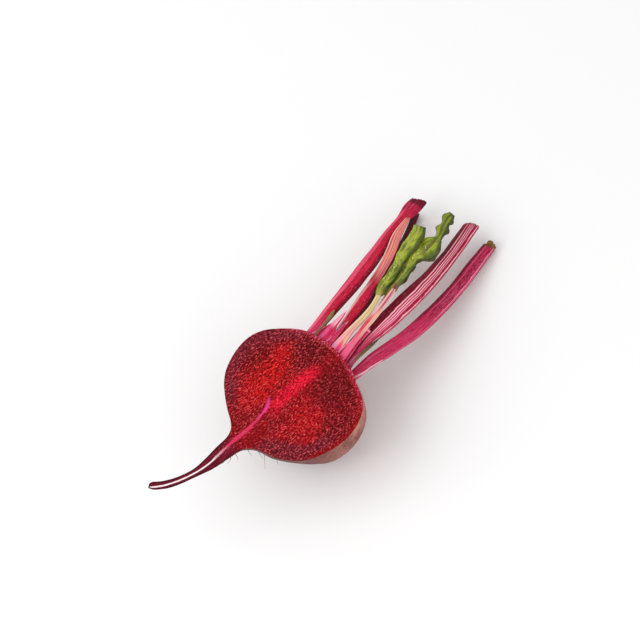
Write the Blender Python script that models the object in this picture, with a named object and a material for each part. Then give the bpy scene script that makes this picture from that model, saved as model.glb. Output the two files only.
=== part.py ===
"""A halved beetroot with its cut stems and young leaves, lying on its round back.

Lengths are in millimetres in the tables below and in metres in the scene. +X runs from the tail to the stems,
+Z is the normal of the level cut face, and +Y is the left side seen from the tail. The model ends up with the
origin under the middle of its outer box, on the surface that it rests on.
"""

import math

import bmesh
import bpy
from mathutils import Vector

MM = 0.001
UP = Vector((0.0, 0.0, 1.0))

# Clearance between pieces that grew together, and how deep a stem starts inside the crown before it is trimmed.
GAP = 0.3
STEM_ROOT_DEPTH = 5.0

# Height of the cut face over the surface. The round back would pass a little below that surface, so that
# cutting it there leaves the flat spot that the part rests on.
FACE_HEIGHT = 42.0

# Depth of the back beside half the width of the cut face, in the body and in the tail.
BODY_ROUNDNESS = 1.06
TAIL_ROUNDNESS = 1.0
TAIL_JOINT_X = -38.0
TAIL_BLEND = 8.0

# How far the back draws in under the right edge of the cut face, as a share of the half width, near the tail and
# towards the crown, and between which x it changes.
UNDERCUT_SHARE = 0.75
UNDERCUT_TAIL_X = (-38.0, -30.0)
UNDERCUT_CROWN_X = (-30.0, -8.0)

# Shallow lumps of the skin, as a share of the radius.
LUMP_SHARE = 0.012
BACK_STEPS = 24
FACE_STEPS = 8
RINGS_PER_ROW = 2

# Edge of the cut face, row by row from the tail to the crown: left x, left y, right x, right y.
FACE_ROWS = (
    (-85.8, 15.6, -86.4, 12.4),
    (-83.5, 15.4, -84.6, 10.4),
    (-79.0, 11.6, -80.0, 6.8),
    (-72.0, 7.8, -73.5, 3.6),
    (-64.0, 5.4, -65.0, 0.8),
    (-56.0, 5.4, -56.5, -1.8),
    (-48.0, 6.2, -48.5, -3.0),
    (-41.5, 6.5, -42.0, -3.8),
    (-37.0, 8.2, -38.0, -5.5),
    (-34.0, 11.8, -35.0, -9.0),
    (-31.8, 16.5, -32.8, -14.0),
    (-29.5, 21.0, -30.8, -20.0),
    (-26.5, 26.0, -27.8, -25.0),
    (-22.5, 31.5, -24.0, -29.8),
    (-17.5, 36.0, -18.8, -34.0),
    (-10.5, 39.5, -11.0, -37.2),
    (-3.0, 41.4, -2.5, -39.0),
    (4.0, 41.3, 5.0, -38.8),
    (10.5, 38.6, 12.0, -36.5),
    (16.0, 34.0, 17.5, -33.0),
    (20.5, 29.3, 21.2, -28.5),
    (24.0, 24.5, 24.0, -22.0),
    (25.8, 20.5, 25.8, -16.2),
    (27.4, 15.5, 27.6, -12.0),
    (28.8, 9.5, 28.6, -6.5),
)
TAIL_TIP = (-87.0, 14.2)
CROWN_TIP = (29.3, 2.0)
TIP_HEIGHT = FACE_HEIGHT - 0.4

# Stems as rows of x, y, z, half width and half height along the middle line, from the crown to the cut end.
STEM_1_LINE = (
    (28.0, 22.7, 36.5, 2.8, 3.2),
    (44.6, 26.9, 34.5, 3.4, 3.5),
    (59.1, 30.8, 32.0, 4.0, 3.5),
    (72.1, 35.6, 28.5, 4.2, 3.4),
    (81.5, 39.8, 25.0, 3.8, 3.1),
    (91.5, 44.9, 21.0, 3.1, 2.8),
    (101.1, 48.6, 17.2, 3.0, 2.6),
    (108.5, 50.9, 15.0, 4.6, 2.7),
    (115.0, 52.6, 13.2, 4.3, 2.5),
)
STEM_2_LINE = (
    (31.0, 11.0, 34.5, 2.7, 2.6),
    (44.9, 15.8, 33.0, 2.9, 3.2),
    (58.1, 21.6, 29.0, 3.6, 3.2),
    (66.2, 25.7, 26.8, 2.9, 2.8),
    (76.7, 29.7, 26.4, 2.7, 2.2),
    (85.9, 34.2, 26.2, 2.9, 1.9),
    (94.2, 39.8, 24.6, 2.5, 1.7),
    (104.6, 44.7, 21.6, 1.0, 1.0),
)
STEM_3_LINE = (
    (28.0, 14.0, 26.0, 2.2, 2.1),
    (51.5, 20.0, 20.0, 2.3, 2.1),
    (72.4, 30.2, 13.5, 2.2, 2.0),
    (89.1, 40.6, 7.5, 2.1, 1.9),
    (100.4, 47.7, 4.0, 2.0, 1.8),
    (110.4, 54.4, 1.8, 1.9, 1.8),
)
STEM_4_LINE = (
    (28.5, -4.5, 35.0, 2.0, 2.2),
    (38.0, -1.5, 34.2, 2.4, 2.4),
    (47.0, 1.1, 32.5, 4.3, 3.0),
    (61.5, 4.1, 28.5, 5.6, 3.4),
    (76.5, 7.1, 24.5, 5.6, 3.4),
    (92.0, 11.1, 19.5, 4.9, 3.2),
    (106.9, 16.5, 14.5, 4.4, 3.0),
    (125.5, 24.6, 8.5, 4.1, 2.8),
)
STEM_5_LINE = (
    (26.6, -10.2, 34.2, 2.7, 2.7),
    (39.6, -9.1, 31.4, 3.6, 3.0),
    (50.4, -8.6, 28.0, 4.0, 3.2),
    (62.9, -7.6, 23.5, 4.2, 3.3),
    (75.5, -5.1, 19.0, 4.5, 3.4),
    (87.5, -1.8, 14.5, 4.2, 3.3),
    (98.9, 2.2, 10.2, 4.1, 3.2),
    (111.9, 7.2, 6.2, 4.0, 3.0),
    (126.0, 12.1, 2.8, 3.4, 2.8),
)

# Leaf stalks, in the same rows as the stems.
LEAF_1_STALK_LINE = (
    (29.5, 5.4, 38.6, 3.6, 1.3),
    (36.0, 7.1, 38.2, 2.6, 1.3),
    (42.5, 8.7, 37.3, 2.1, 1.2),
    (52.0, 11.2, 34.2, 1.9, 1.1),
    (60.0, 14.6, 31.3, 1.6, 1.0),
    (67.0, 18.8, 29.2, 1.4, 0.9),
)
LEAF_2_STALK_LINE = (
    (29.0, 3.6, 34.4, 1.3, 1.1),
    (42.5, 6.9, 32.4, 1.2, 1.0),
    (54.5, 10.3, 28.8, 1.2, 1.0),
    (64.5, 15.3, 25.6, 1.2, 1.0),
    (71.2, 18.0, 24.4, 1.1, 0.9),
)

# Leaf blades as rows of left edge, right edge and the rise of the midrib over them: x, y, z, x, y, z, rise.
LEAF_1_ROWS = (
    (63.6, 18.2, 29.6, 64.6, 16.4, 29.2, 0.2),
    (68.5, 22.6, 28.4, 69.5, 17.8, 27.6, 1.6),
    (74.5, 24.2, 27.6, 76.5, 19.6, 26.6, 2.0),
    (83.0, 27.6, 26.6, 85.0, 23.0, 25.8, 2.2),
    (88.0, 30.8, 26.2, 90.5, 25.2, 25.2, 2.0),
    (93.5, 32.6, 26.0, 96.4, 25.9, 25.5, 2.2),
    (99.5, 35.6, 26.0, 102.4, 28.1, 25.7, 1.8),
    (103.0, 36.4, 26.2, 106.3, 30.7, 25.8, 1.2),
)
LEAF_2_ROWS = (
    (67.6, 18.1, 25.0, 68.4, 15.9, 24.6, 0.2),
    (72.7, 20.3, 24.6, 74.7, 16.3, 24.0, 1.4),
    (79.2, 21.7, 24.2, 81.7, 17.5, 23.4, 1.5),
    (86.2, 24.3, 23.6, 88.7, 19.5, 23.0, 1.4),
    (92.2, 26.5, 23.4, 92.7, 20.7, 22.6, 1.2),
    (96.2, 27.7, 23.2, 95.7, 17.7, 22.2, 1.0),
    (99.7, 29.3, 23.4, 99.7, 16.3, 22.0, 1.0),
    (102.7, 28.5, 23.6, 103.7, 17.3, 22.2, 1.0),
    (105.4, 26.1, 23.4, 106.4, 20.3, 22.6, 0.8),
    (108.2, 25.7, 23.6, 109.6, 21.7, 22.8, 0.8),
    (110.8, 28.5, 24.0, 113.4, 22.5, 22.8, 0.9),
    (114.2, 28.7, 24.2, 115.8, 24.1, 23.0, 1.0),
    (117.2, 30.5, 24.4, 117.8, 24.5, 23.2, 0.9),
    (120.8, 29.7, 24.6, 121.2, 26.5, 23.6, 0.4),
)
BLADE_THICKNESS = 0.8
BLADE_STEPS = 8
STEPS_PER_BLADE_ROW = 4
LEAF_1_WAVE = 0.45
LEAF_2_WAVE = 0.6
WAVES_PER_ROW = 0.6

# The torn stub, the crown's scale and bud and the thin sliver, in the same rows as the stems.
STUB_LINE = (
    (28.5, -1.2, 39.6, 2.1, 1.0),
    (39.0, 1.7, 38.9, 1.8, 1.0),
    (48.0, 4.7, 37.4, 1.9, 1.0),
    (56.1, 7.0, 35.8, 2.0, 0.9),
    (64.1, 10.0, 33.6, 1.7, 0.8),
    (70.1, 12.7, 31.6, 1.4, 0.7),
    (75.5, 15.2, 30.4, 0.5, 0.5),
)
SCALE_LINE = (
    (28.0, 14.6, 38.6, 3.4, 0.9),
    (34.0, 15.3, 39.0, 3.0, 0.8),
    (38.0, 16.0, 39.6, 1.9, 0.7),
    (42.5, 16.4, 40.2, 1.2, 0.6),
    (47.0, 16.8, 40.8, 0.4, 0.4),
)
BUD_LINE = (
    (27.0, 18.6, 40.4, 0.9, 0.7),
    (36.0, 19.8, 40.8, 0.9, 0.7),
    (39.5, 20.4, 41.2, 1.0, 0.7),
    (42.5, 21.2, 41.6, 0.4, 0.4),
)
SLIVER_LINE = (
    (30.0, -6.8, 38.2, 0.6, 0.5),
    (37.0, -5.8, 37.4, 0.9, 0.6),
    (44.0, -4.8, 35.9, 0.9, 0.6),
    (50.0, -3.6, 34.0, 0.35, 0.35),
)

# Section shapes, as shares of a stem's radius: the channel along the upper side, the flat where a stem is sliced,
# from which share of its length on, and the ribs.
CHANNEL_WIDTH = math.radians(42.0)
CHANNEL_SHARE = 0.22
SLICE_LEVEL = 0.25
SLICE_START = 0.36
SLICE_BLEND = 0.25
RIB_SHARE = 0.09
RIBS_ROUND = 10
STEM_SIDES = 16
THIN_SIDES = 12
RIBBED_SIDES = 40
RINGS_PER_STEM_ROW = 3
END_SLANT = 0.35
END_HOLLOW = 0.4


def smooth_rows(rows, steps):
    """Reads a smooth curve through rows of numbers, with this many steps from each row to the next."""
    points = [Vector(row) for row in rows]
    read = []
    for index in range(len(points) - 1):
        before = points[max(index - 1, 0)]
        start = points[index]
        end = points[index + 1]
        after = points[min(index + 2, len(points) - 1)]
        for step in range(steps):
            t = step / steps
            read.append(
                0.5
                * (
                    2.0 * start
                    + (end - before) * t
                    + (2.0 * before - 5.0 * start + 4.0 * end - after) * t**2
                    + (3.0 * start - before - 3.0 * end + after) * t**3
                )
            )
    read.append(points[-1])
    return read


def plain_material(name, colour, roughness):
    """A Principled material of one colour, as red, green and blue from 0 to 1."""
    material = bpy.data.materials.new(name)
    material.use_nodes = True
    shader = material.node_tree.nodes["Principled BSDF"]
    shader.inputs["Base Color"].default_value = (*colour, 1.0)
    shader.inputs["Roughness"].default_value = roughness
    shader.inputs["Metallic"].default_value = 0.0
    material.diffuse_color = (*colour, 1.0)
    return material


def add_object(name, mesh, material):
    """Turns a bmesh in millimetres into an object in metres, with its faces pointing out."""
    bmesh.ops.recalc_face_normals(mesh, faces=mesh.faces)
    bmesh.ops.scale(mesh, vec=(MM, MM, MM), verts=mesh.verts)
    data = bpy.data.meshes.new(name)
    mesh.to_mesh(data)
    mesh.free()
    data.materials.append(material)
    data.shade_smooth()
    data.set_sharp_from_angle(angle=math.radians(40.0))
    made = bpy.data.objects.new(name, data)
    bpy.context.scene.collection.objects.link(made)
    return made


def loft(rings, start_tip, end_tip):
    """Joins rings of points, alike in number, into a closed body with a point at either end."""
    mesh = bmesh.new()
    loops = [[mesh.verts.new(point) for point in ring] for ring in rings]
    for near, far in zip(loops, loops[1:]):
        for index in range(len(near)):
            after = (index + 1) % len(near)
            mesh.faces.new((near[index], near[after], far[after], far[index]))
    for loop, tip in ((loops[0], start_tip), (loops[-1], end_tip)):
        point = mesh.verts.new(tip)
        for index in range(len(loop)):
            mesh.faces.new((loop[index], loop[(index + 1) % len(loop)], point))
    return mesh


def apply_modifiers(made):
    """Bakes an object's modifiers into its mesh."""
    evaluated = made.evaluated_get(bpy.context.evaluated_depsgraph_get())
    baked = bpy.data.meshes.new_from_object(evaluated)
    worn = made.data
    made.modifiers.clear()
    made.data = baked
    bpy.data.meshes.remove(worn)
    baked.name = made.name


def combine(made, other, operation):
    """Applies a Boolean of another object to an object, and removes that other object."""
    modifier = made.modifiers.new(operation.lower(), "BOOLEAN")
    modifier.operation = operation
    modifier.solver = "EXACT"
    modifier.object = other
    apply_modifiers(made)
    bpy.data.objects.remove(other)


def ease(value, low, high):
    """Runs smoothly from 0 at low to 1 at high."""
    share = min(max((value - low) / (high - low), 0.0), 1.0)
    return share * share * (3.0 - 2.0 * share)


def body_share(x):
    """How much a ring at x belongs to the round body and not to the tail, from 0 to 1."""
    return ease(x, TAIL_JOINT_X - TAIL_BLEND / 2.0, TAIL_JOINT_X + TAIL_BLEND / 2.0)


def side_width(x, turn):
    """How far to the left a point of the back lies, from 1 at the left edge to -1 at the right edge."""
    width = math.cos(turn)
    if width < 0.0:
        rise = math.sin(turn)
        drawn_in = UNDERCUT_SHARE * ease(x, *UNDERCUT_TAIL_X) * (1.0 - ease(x, *UNDERCUT_CROWN_X))
        width *= 1.0 - drawn_in * rise * (1.0 - rise * rise)
    return width


def skin_lump(x, turn):
    """Shallow lumps of the back at x and at a turn from 0 to pi, none at the cut edge."""
    waves = math.sin(0.11 * x + 2.3 * turn) + 0.6 * math.sin(0.21 * x - 4.1 * turn + 1.0)
    return 1.0 + LUMP_SHARE * waves * math.sin(turn)


def root_ring(row):
    """One ring of the halved root: the round back from the left edge to the right, and the flat face back."""
    left = Vector((row[0], row[1], FACE_HEIGHT))
    right = Vector((row[2], row[3], FACE_HEIGHT))
    middle = (left + right) / 2.0
    reach = (left - right) / 2.0
    roundness = TAIL_ROUNDNESS + (BODY_ROUNDNESS - TAIL_ROUNDNESS) * body_share(middle.x)
    depth = reach.length * roundness
    points = []
    for step in range(BACK_STEPS + 1):
        turn = math.pi * step / BACK_STEPS
        lump = skin_lump(middle.x, turn)
        width = side_width(middle.x, turn)
        points.append(middle + reach * width * lump - UP * depth * math.sin(turn) * lump)
    for step in range(1, FACE_STEPS):
        points.append(middle - reach + 2.0 * reach * step / FACE_STEPS)
    return points


def root_mesh():
    """The halved root as a bmesh, before its flat spot is cut."""
    rings = [root_ring(row) for row in smooth_rows(FACE_ROWS, RINGS_PER_ROW)]
    return loft(rings, Vector((*TAIL_TIP, TIP_HEIGHT)), Vector((*CROWN_TIP, TIP_HEIGHT)))


def cut_flat_spot(mesh):
    """Cuts the round back level with the surface that it rests on, and closes the cut."""
    geometry = mesh.verts[:] + mesh.edges[:] + mesh.faces[:]
    cut = bmesh.ops.bisect_plane(mesh, geom=geometry, plane_co=(0, 0, 0), plane_no=(0, 0, -1), clear_outer=True)
    edges = [item for item in cut["geom_cut"] if isinstance(item, bmesh.types.BMEdge)]
    bmesh.ops.contextual_create(mesh, geom=edges)


def build_root():
    """The halved root with its tail, which grew as one piece."""
    mesh = root_mesh()
    cut_flat_spot(mesh)
    return add_object("root_half", mesh, plain_material("beet_skin", (0.30, 0.12, 0.12), 0.7))


def round_section(turn, along):
    """A plain round section."""
    return 1.0


def channelled_section(turn, along):
    """A round section with a shallow channel along its upper side."""
    offset = (turn - math.pi / 2.0) / CHANNEL_WIDTH
    return 1.0 - CHANNEL_SHARE * math.exp(-offset * offset)


def sliced_section(turn, along):
    """A round section that has its upper side sliced away from the middle of the stem to the end."""
    slice_share = min(max((along - SLICE_START) / SLICE_BLEND, 0.0), 1.0)
    level = 1.0 - (1.0 - SLICE_LEVEL) * slice_share
    return min(1.0, level / max(math.sin(turn), level))


def ribbed_section(turn, along):
    """A section with ribs over its upper half and a smooth lower half."""
    upper = max(math.sin(turn), 0.0) ** 0.5
    return 1.0 + RIB_SHARE * upper * math.cos(RIBS_ROUND * (turn - math.pi / 2.0))


def sweep(name, rows, section, sides, material):
    """A closed stem along a smooth line, its first row inside the crown, with a slanting cut end."""
    read = smooth_rows(rows, RINGS_PER_STEM_ROW)
    middles = [Vector(row[:3]) for row in read]
    rings = []
    for index, row in enumerate(read):
        ahead = middles[min(index + 1, len(middles) - 1)] - middles[max(index - 1, 0)]
        ahead.normalize()
        side = ahead.cross(UP).normalized()
        above = side.cross(ahead)
        along = index / (len(read) - 1)
        ring = []
        for step in range(sides):
            turn = 2.0 * math.pi * step / sides
            size = section(turn, along)
            point = middles[index] + side * row[3] * size * math.cos(turn)
            point += above * row[4] * size * math.sin(turn)
            if index == len(read) - 1:
                point += ahead * row[3] * END_SLANT * math.cos(turn)
            ring.append(point)
        rings.append(ring)
    end = middles[-1] - (middles[-1] - middles[-2]).normalized() * END_HOLLOW
    return add_object(name, loft(rings, middles[0], end), material)


def rooted(rows):
    """The rows of a stem, with one more row inside the crown, so that its foot can be trimmed to the crown."""
    first = Vector(rows[0][:3])
    ahead = (Vector(rows[1][:3]) - first).normalized()
    start = first - ahead * STEM_ROOT_DEPTH
    return ((*start, rows[0][3], rows[0][4]), *rows)


def trim_to_crown(made):
    """Cuts a stem's foot back to the crown, with the usual gap."""
    mesh = root_mesh()
    bmesh.ops.recalc_face_normals(mesh, faces=mesh.faces)
    mesh.normal_update()
    for vert in mesh.verts:
        vert.co += vert.normal * GAP
    cutter = add_object("crown_cutter", mesh, made.data.materials[0])
    combine(made, cutter, "DIFFERENCE")


def build_stem(name, rows, section, sides, colour):
    """One stem, swept along its rows and trimmed to the crown."""
    stem = sweep(name, rooted(rows), section, sides, plain_material(name + "_skin", colour, 0.45))
    trim_to_crown(stem)
    return stem


def blade_point(row, across, wave):
    """A point of a blade's middle surface, across running from 0 at the left edge to 1 at the right."""
    left = Vector(row[0:3])
    right = Vector(row[3:6])
    point = left.lerp(right, across)
    point.z += row[6] * math.sin(math.pi * across)
    return point + UP * wave * (2.0 * across - 1.0) ** 2


def build_blade(name, rows, wave, material):
    """A leaf blade with waved edges, as a closed body of even thickness, split alike on both faces."""
    read = smooth_rows(rows, STEPS_PER_BLADE_ROW)
    grid = []
    for index, row in enumerate(read):
        phase = 2.0 * math.pi * WAVES_PER_ROW * index / STEPS_PER_BLADE_ROW
        height = wave * math.sin(phase)
        grid.append([blade_point(row, step / BLADE_STEPS, height) for step in range(BLADE_STEPS + 1)])
    mesh = bmesh.new()
    upper = []
    lower = []
    for i, line in enumerate(grid):
        upper.append([])
        lower.append([])
        for j, point in enumerate(line):
            along = grid[min(i + 1, len(grid) - 1)][j] - grid[max(i - 1, 0)][j]
            across = line[min(j + 1, BLADE_STEPS)] - line[max(j - 1, 0)]
            normal = across.cross(along).normalized()
            upper[-1].append(mesh.verts.new(point + normal * BLADE_THICKNESS / 2.0))
            lower[-1].append(mesh.verts.new(point - normal * BLADE_THICKNESS / 2.0))
    for i in range(len(grid) - 1):
        for j in range(BLADE_STEPS):
            for face in (upper, lower):
                mesh.faces.new((face[i][j], face[i + 1][j], face[i + 1][j + 1]))
                mesh.faces.new((face[i][j], face[i + 1][j + 1], face[i][j + 1]))
    rim = [(i, 0) for i in range(len(grid))]
    rim += [(len(grid) - 1, j) for j in range(1, BLADE_STEPS + 1)]
    rim += [(i, BLADE_STEPS) for i in range(len(grid) - 2, -1, -1)]
    rim += [(0, j) for j in range(BLADE_STEPS - 1, 0, -1)]
    for near, far in zip(rim, rim[1:] + rim[:1]):
        corners = (upper[near[0]][near[1]], upper[far[0]][far[1]], lower[far[0]][far[1]], lower[near[0]][near[1]])
        mesh.faces.new(corners)
    return add_object(name, mesh, material)


def build_leaf(name, stalk_rows, blade_rows, wave, colour):
    """A young leaf: its stalk from the crown and its blade, joined in one piece."""
    material = plain_material(name + "_green", colour, 0.35)
    leaf = sweep(name, rooted(stalk_rows), channelled_section, THIN_SIDES, material)
    trim_to_crown(leaf)
    blade = build_blade(name + "_blade", blade_rows, wave, material)
    combine(leaf, blade, "UNION")
    return leaf


def centre_on_origin(pieces):
    """Moves all pieces so that the origin lies under the middle of their outer box, at its lowest level."""
    corners = [vert.co for piece in pieces for vert in piece.data.vertices]
    low = Vector([min(corner[axis] for corner in corners) for axis in range(3)])
    high = Vector([max(corner[axis] for corner in corners) for axis in range(3)])
    offset = Vector(((low.x + high.x) / 2.0, (low.y + high.y) / 2.0, low.z))
    for piece in pieces:
        for vert in piece.data.vertices:
            vert.co -= offset


def main():
    """Builds every piece in order."""
    for item in list(bpy.data.objects):
        bpy.data.objects.remove(item)
    pieces = [
        build_root(),
        build_stem("stem_1", STEM_1_LINE, channelled_section, STEM_SIDES, (0.58, 0.01, 0.06)),
        build_stem("stem_2", STEM_2_LINE, sliced_section, STEM_SIDES, (0.62, 0.06, 0.12)),
        build_stem("stem_3", STEM_3_LINE, round_section, THIN_SIDES, (0.16, 0.01, 0.03)),
        build_stem("stem_4", STEM_4_LINE, ribbed_section, RIBBED_SIDES, (0.60, 0.06, 0.14)),
        build_stem("stem_5", STEM_5_LINE, channelled_section, STEM_SIDES, (0.48, 0.02, 0.10)),
        build_leaf("leaf_1", LEAF_1_STALK_LINE, LEAF_1_ROWS, LEAF_1_WAVE, (0.22, 0.38, 0.02)),
        build_leaf("leaf_2", LEAF_2_STALK_LINE, LEAF_2_ROWS, LEAF_2_WAVE, (0.15, 0.30, 0.02)),
        build_stem("torn_stub", STUB_LINE, channelled_section, THIN_SIDES, (0.80, 0.34, 0.26)),
        build_stem("crown_scale", SCALE_LINE, round_section, THIN_SIDES, (0.80, 0.16, 0.30)),
        build_stem("crown_bud", BUD_LINE, round_section, THIN_SIDES, (0.24, 0.24, 0.06)),
        build_stem("crown_sliver", SLIVER_LINE, round_section, THIN_SIDES, (0.14, 0.12, 0.03)),
    ]
    centre_on_origin(pieces)


main()
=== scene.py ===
"""Dresses a halved beetroot: its wet cut face, dusty skin, ribbed stems, young leaves and the studio round it.

Sizes are in millimetres in the classes below and in metres in the meshes. The rows of each piece are given in the
beetroot's own frame, whose origin lies under the middle of the cut face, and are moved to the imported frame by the
place of the root's box.
"""

from __future__ import annotations

import itertools
import logging
import math
from collections.abc import Callable
from dataclasses import dataclass
from enum import Enum

import bpy
import numpy as np
from mathutils import Matrix, Vector


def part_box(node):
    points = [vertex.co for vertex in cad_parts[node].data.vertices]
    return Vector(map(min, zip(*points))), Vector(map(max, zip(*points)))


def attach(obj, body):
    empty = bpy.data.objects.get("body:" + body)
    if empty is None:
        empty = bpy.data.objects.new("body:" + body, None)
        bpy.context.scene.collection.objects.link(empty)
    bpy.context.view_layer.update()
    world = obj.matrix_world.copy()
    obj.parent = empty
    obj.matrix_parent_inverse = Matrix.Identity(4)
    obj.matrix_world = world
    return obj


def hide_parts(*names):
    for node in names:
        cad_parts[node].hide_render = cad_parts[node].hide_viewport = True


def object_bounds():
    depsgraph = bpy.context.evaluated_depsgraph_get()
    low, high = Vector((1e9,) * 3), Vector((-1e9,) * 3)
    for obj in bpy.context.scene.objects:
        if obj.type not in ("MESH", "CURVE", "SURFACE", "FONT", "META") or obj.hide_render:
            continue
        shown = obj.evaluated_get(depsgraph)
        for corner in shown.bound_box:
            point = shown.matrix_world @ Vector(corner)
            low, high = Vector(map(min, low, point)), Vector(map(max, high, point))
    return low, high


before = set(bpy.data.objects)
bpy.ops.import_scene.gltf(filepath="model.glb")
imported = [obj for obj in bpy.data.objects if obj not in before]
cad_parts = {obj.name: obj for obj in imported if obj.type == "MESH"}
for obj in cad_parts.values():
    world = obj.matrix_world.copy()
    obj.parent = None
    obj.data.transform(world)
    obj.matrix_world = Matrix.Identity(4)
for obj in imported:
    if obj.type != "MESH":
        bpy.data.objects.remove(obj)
CAD_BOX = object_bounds()

LOG = logging.getLogger("beetroot")
MM = 0.001
BODY = "root"
UP = np.array((0.0, 0.0, 1.0))
FACE_HEIGHT = 42.0
TAIL_END_X = -87.0
CROWN_END_X = 29.3
# Shares round a stem past this one count as below 0, so that the seam lies underneath.
SEAM = 0.675
# Points nearer to a stem's ends than this share of its length form the open rims.
END_SHARE = 1e-4
# How far pieces stay inside the CAD box, in metres.
BOX_MARGIN = 1e-6

Colour = tuple[float, float, float, float]
Rows = tuple[tuple[float, ...], ...]
Place = Callable[[np.ndarray, np.ndarray], np.ndarray]


def shade(red: int, green: int, blue: int) -> Colour:
    """Turns a colour as seen on a screen, from 0 to 255, into the linear colour that a shader takes."""
    linear = [(c / 255.0 / 12.92) if c < 11 else ((c / 255.0 + 0.055) / 1.055) ** 2.4 for c in (red, green, blue)]
    return (*linear, 1.0)


def ease(values: np.ndarray, low: float, high: float) -> np.ndarray:
    """Runs smoothly from 0 at low to 1 at high.

    Args:
        values: Numbers to judge.
        low: Where the result starts to leave 0. It may lie above high.
        high: Where the result reaches 1.

    Returns:
        One share from 0 to 1 for each value.
    """
    share = np.clip((values - low) / (high - low), 0.0, 1.0)
    return share * share * (3.0 - 2.0 * share)


def lumps(points: np.ndarray, size: float, seed: int = 1) -> np.ndarray:
    """Smooth seeded noise.

    Args:
        points: Places, one row each, in millimetres.
        size: About how wide one lump is.
        seed: Which noise to take.

    Returns:
        One number from -1 to 1 for each point.
    """
    place = points / size
    cell = np.floor(place).astype(np.int64)
    part = place - cell
    part = part * part * (3.0 - 2.0 * part)
    total = np.zeros(len(points))
    for corner in itertools.product((0, 1), repeat=3):
        at = cell + corner
        mixed = (at[:, 0] * 73856093) ^ (at[:, 1] * 19349663) ^ (at[:, 2] * 83492791) ^ (seed * 265443576)
        mixed = ((mixed ^ (mixed >> 13)) * 1274126177) & 0xFFFFFFFF
        value = ((mixed >> 8) & 0xFFFF) / 32767.5 - 1.0
        weight = np.prod(np.where(np.array(corner) == 1, part, 1.0 - part), axis=1)
        total += weight * value
    return total


class RowCurve:
    """A smooth curve through rows of numbers, read at even steps of its length."""

    def __init__(self, rows: Rows, samples: int = 400) -> None:
        """Measures the curve.

        Args:
            rows: Rows of numbers, the first three or more of them places.
            samples: How finely the length is measured.
        """
        self.rows = np.array(rows, float)
        turns = np.linspace(0.0, len(rows) - 1.0, samples)
        read = self.at(turns)
        steps = np.linalg.norm(np.diff(read[:, :3], axis=0), axis=1)
        self.turns = turns
        self.reach = np.concatenate(([0.0], np.cumsum(steps)))
        self.length = float(self.reach[-1])

    def at(self, turns: np.ndarray) -> np.ndarray:
        """Reads the curve at row numbers, which may lie between two rows."""
        last = len(self.rows) - 1
        index = np.clip(np.floor(turns).astype(int), 0, last - 1)
        t = (turns - index)[:, None]
        before, start = self.rows[np.maximum(index - 1, 0)], self.rows[index]
        end, after = self.rows[index + 1], self.rows[np.minimum(index + 2, last)]
        curve = 2.0 * start + (end - before) * t
        curve += (2.0 * before - 5.0 * start + 4.0 * end - after) * t**2
        curve += (3.0 * start - before - 3.0 * end + after) * t**3
        return 0.5 * curve

    def read(self, share: np.ndarray) -> np.ndarray:
        """Reads the curve at shares of its length from 0 to 1."""
        return self.at(np.interp(share * self.length, self.reach, self.turns))


def distance_to_line(points: np.ndarray, line: np.ndarray) -> np.ndarray:
    """Measures how far points lie from a line of straight runs.

    Args:
        points: Places in two dimensions, one row each.
        line: The line's corners in order, one row each.

    Returns:
        The distance of each point.
    """
    start, run = line[:-1], np.diff(line, axis=0)
    squares = np.maximum((run**2).sum(axis=1), 1e-12)
    nearest = np.full(len(points), np.inf)
    for first in range(0, len(points), 4000):
        some = points[first : first + 4000, None, :]
        t = np.clip(((some - start) * run).sum(axis=2) / squares, 0.0, 1.0)
        gap = np.linalg.norm(some - start - run * t[..., None], axis=2)
        nearest[first : first + 4000] = gap.min(axis=1)
    return nearest


def deselect_all() -> None:
    """Leaves edit mode and selects nothing."""
    if bpy.context.object and bpy.context.object.mode != "OBJECT":
        bpy.ops.object.mode_set(mode="OBJECT")
    bpy.ops.object.select_all(action="DESELECT")


def take_up(piece: bpy.types.Object) -> None:
    """Makes a piece the only one selected, and the active one."""
    deselect_all()
    piece.select_set(True)
    bpy.context.view_layer.objects.active = piece


def write_numbers(piece: bpy.types.Object, name: str, values: np.ndarray) -> None:
    """Keeps one number for each point of a piece, for its material or for a later selection."""
    layer = piece.data.attributes.get(name) or piece.data.attributes.new(name, "FLOAT", "POINT")
    layer.data.foreach_set("value", values.astype(np.float32))


def read_numbers(piece: bpy.types.Object, name: str) -> np.ndarray:
    """Reads the numbers that write_numbers kept."""
    values = np.empty(len(piece.data.vertices), np.float32)
    piece.data.attributes[name].data.foreach_get("value", values)
    return values


def read_points(piece: bpy.types.Object) -> np.ndarray:
    """Reads the places of a piece's points, in metres, one row each."""
    flat = np.empty(len(piece.data.vertices) * 3, np.float32)
    piece.data.vertices.foreach_get("co", flat)
    return flat.reshape(-1, 3)


def select_points(piece: bpy.types.Object, chosen: np.ndarray) -> None:
    """Opens a piece in edit mode with these points selected, and the edges and faces between them."""
    take_up(piece)
    mesh = piece.data
    mesh.vertices.foreach_set("select", chosen)
    edges = np.empty(len(mesh.edges) * 2, np.int32)
    mesh.edges.foreach_get("vertices", edges)
    mesh.edges.foreach_set("select", chosen[edges.reshape(-1, 2)].all(axis=1))
    mesh.polygons.foreach_set("select", [bool(chosen[list(face.vertices)].all()) for face in mesh.polygons])
    bpy.context.tool_settings.mesh_select_mode = (True, False, False)
    bpy.ops.object.mode_set(mode="EDIT")


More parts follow.
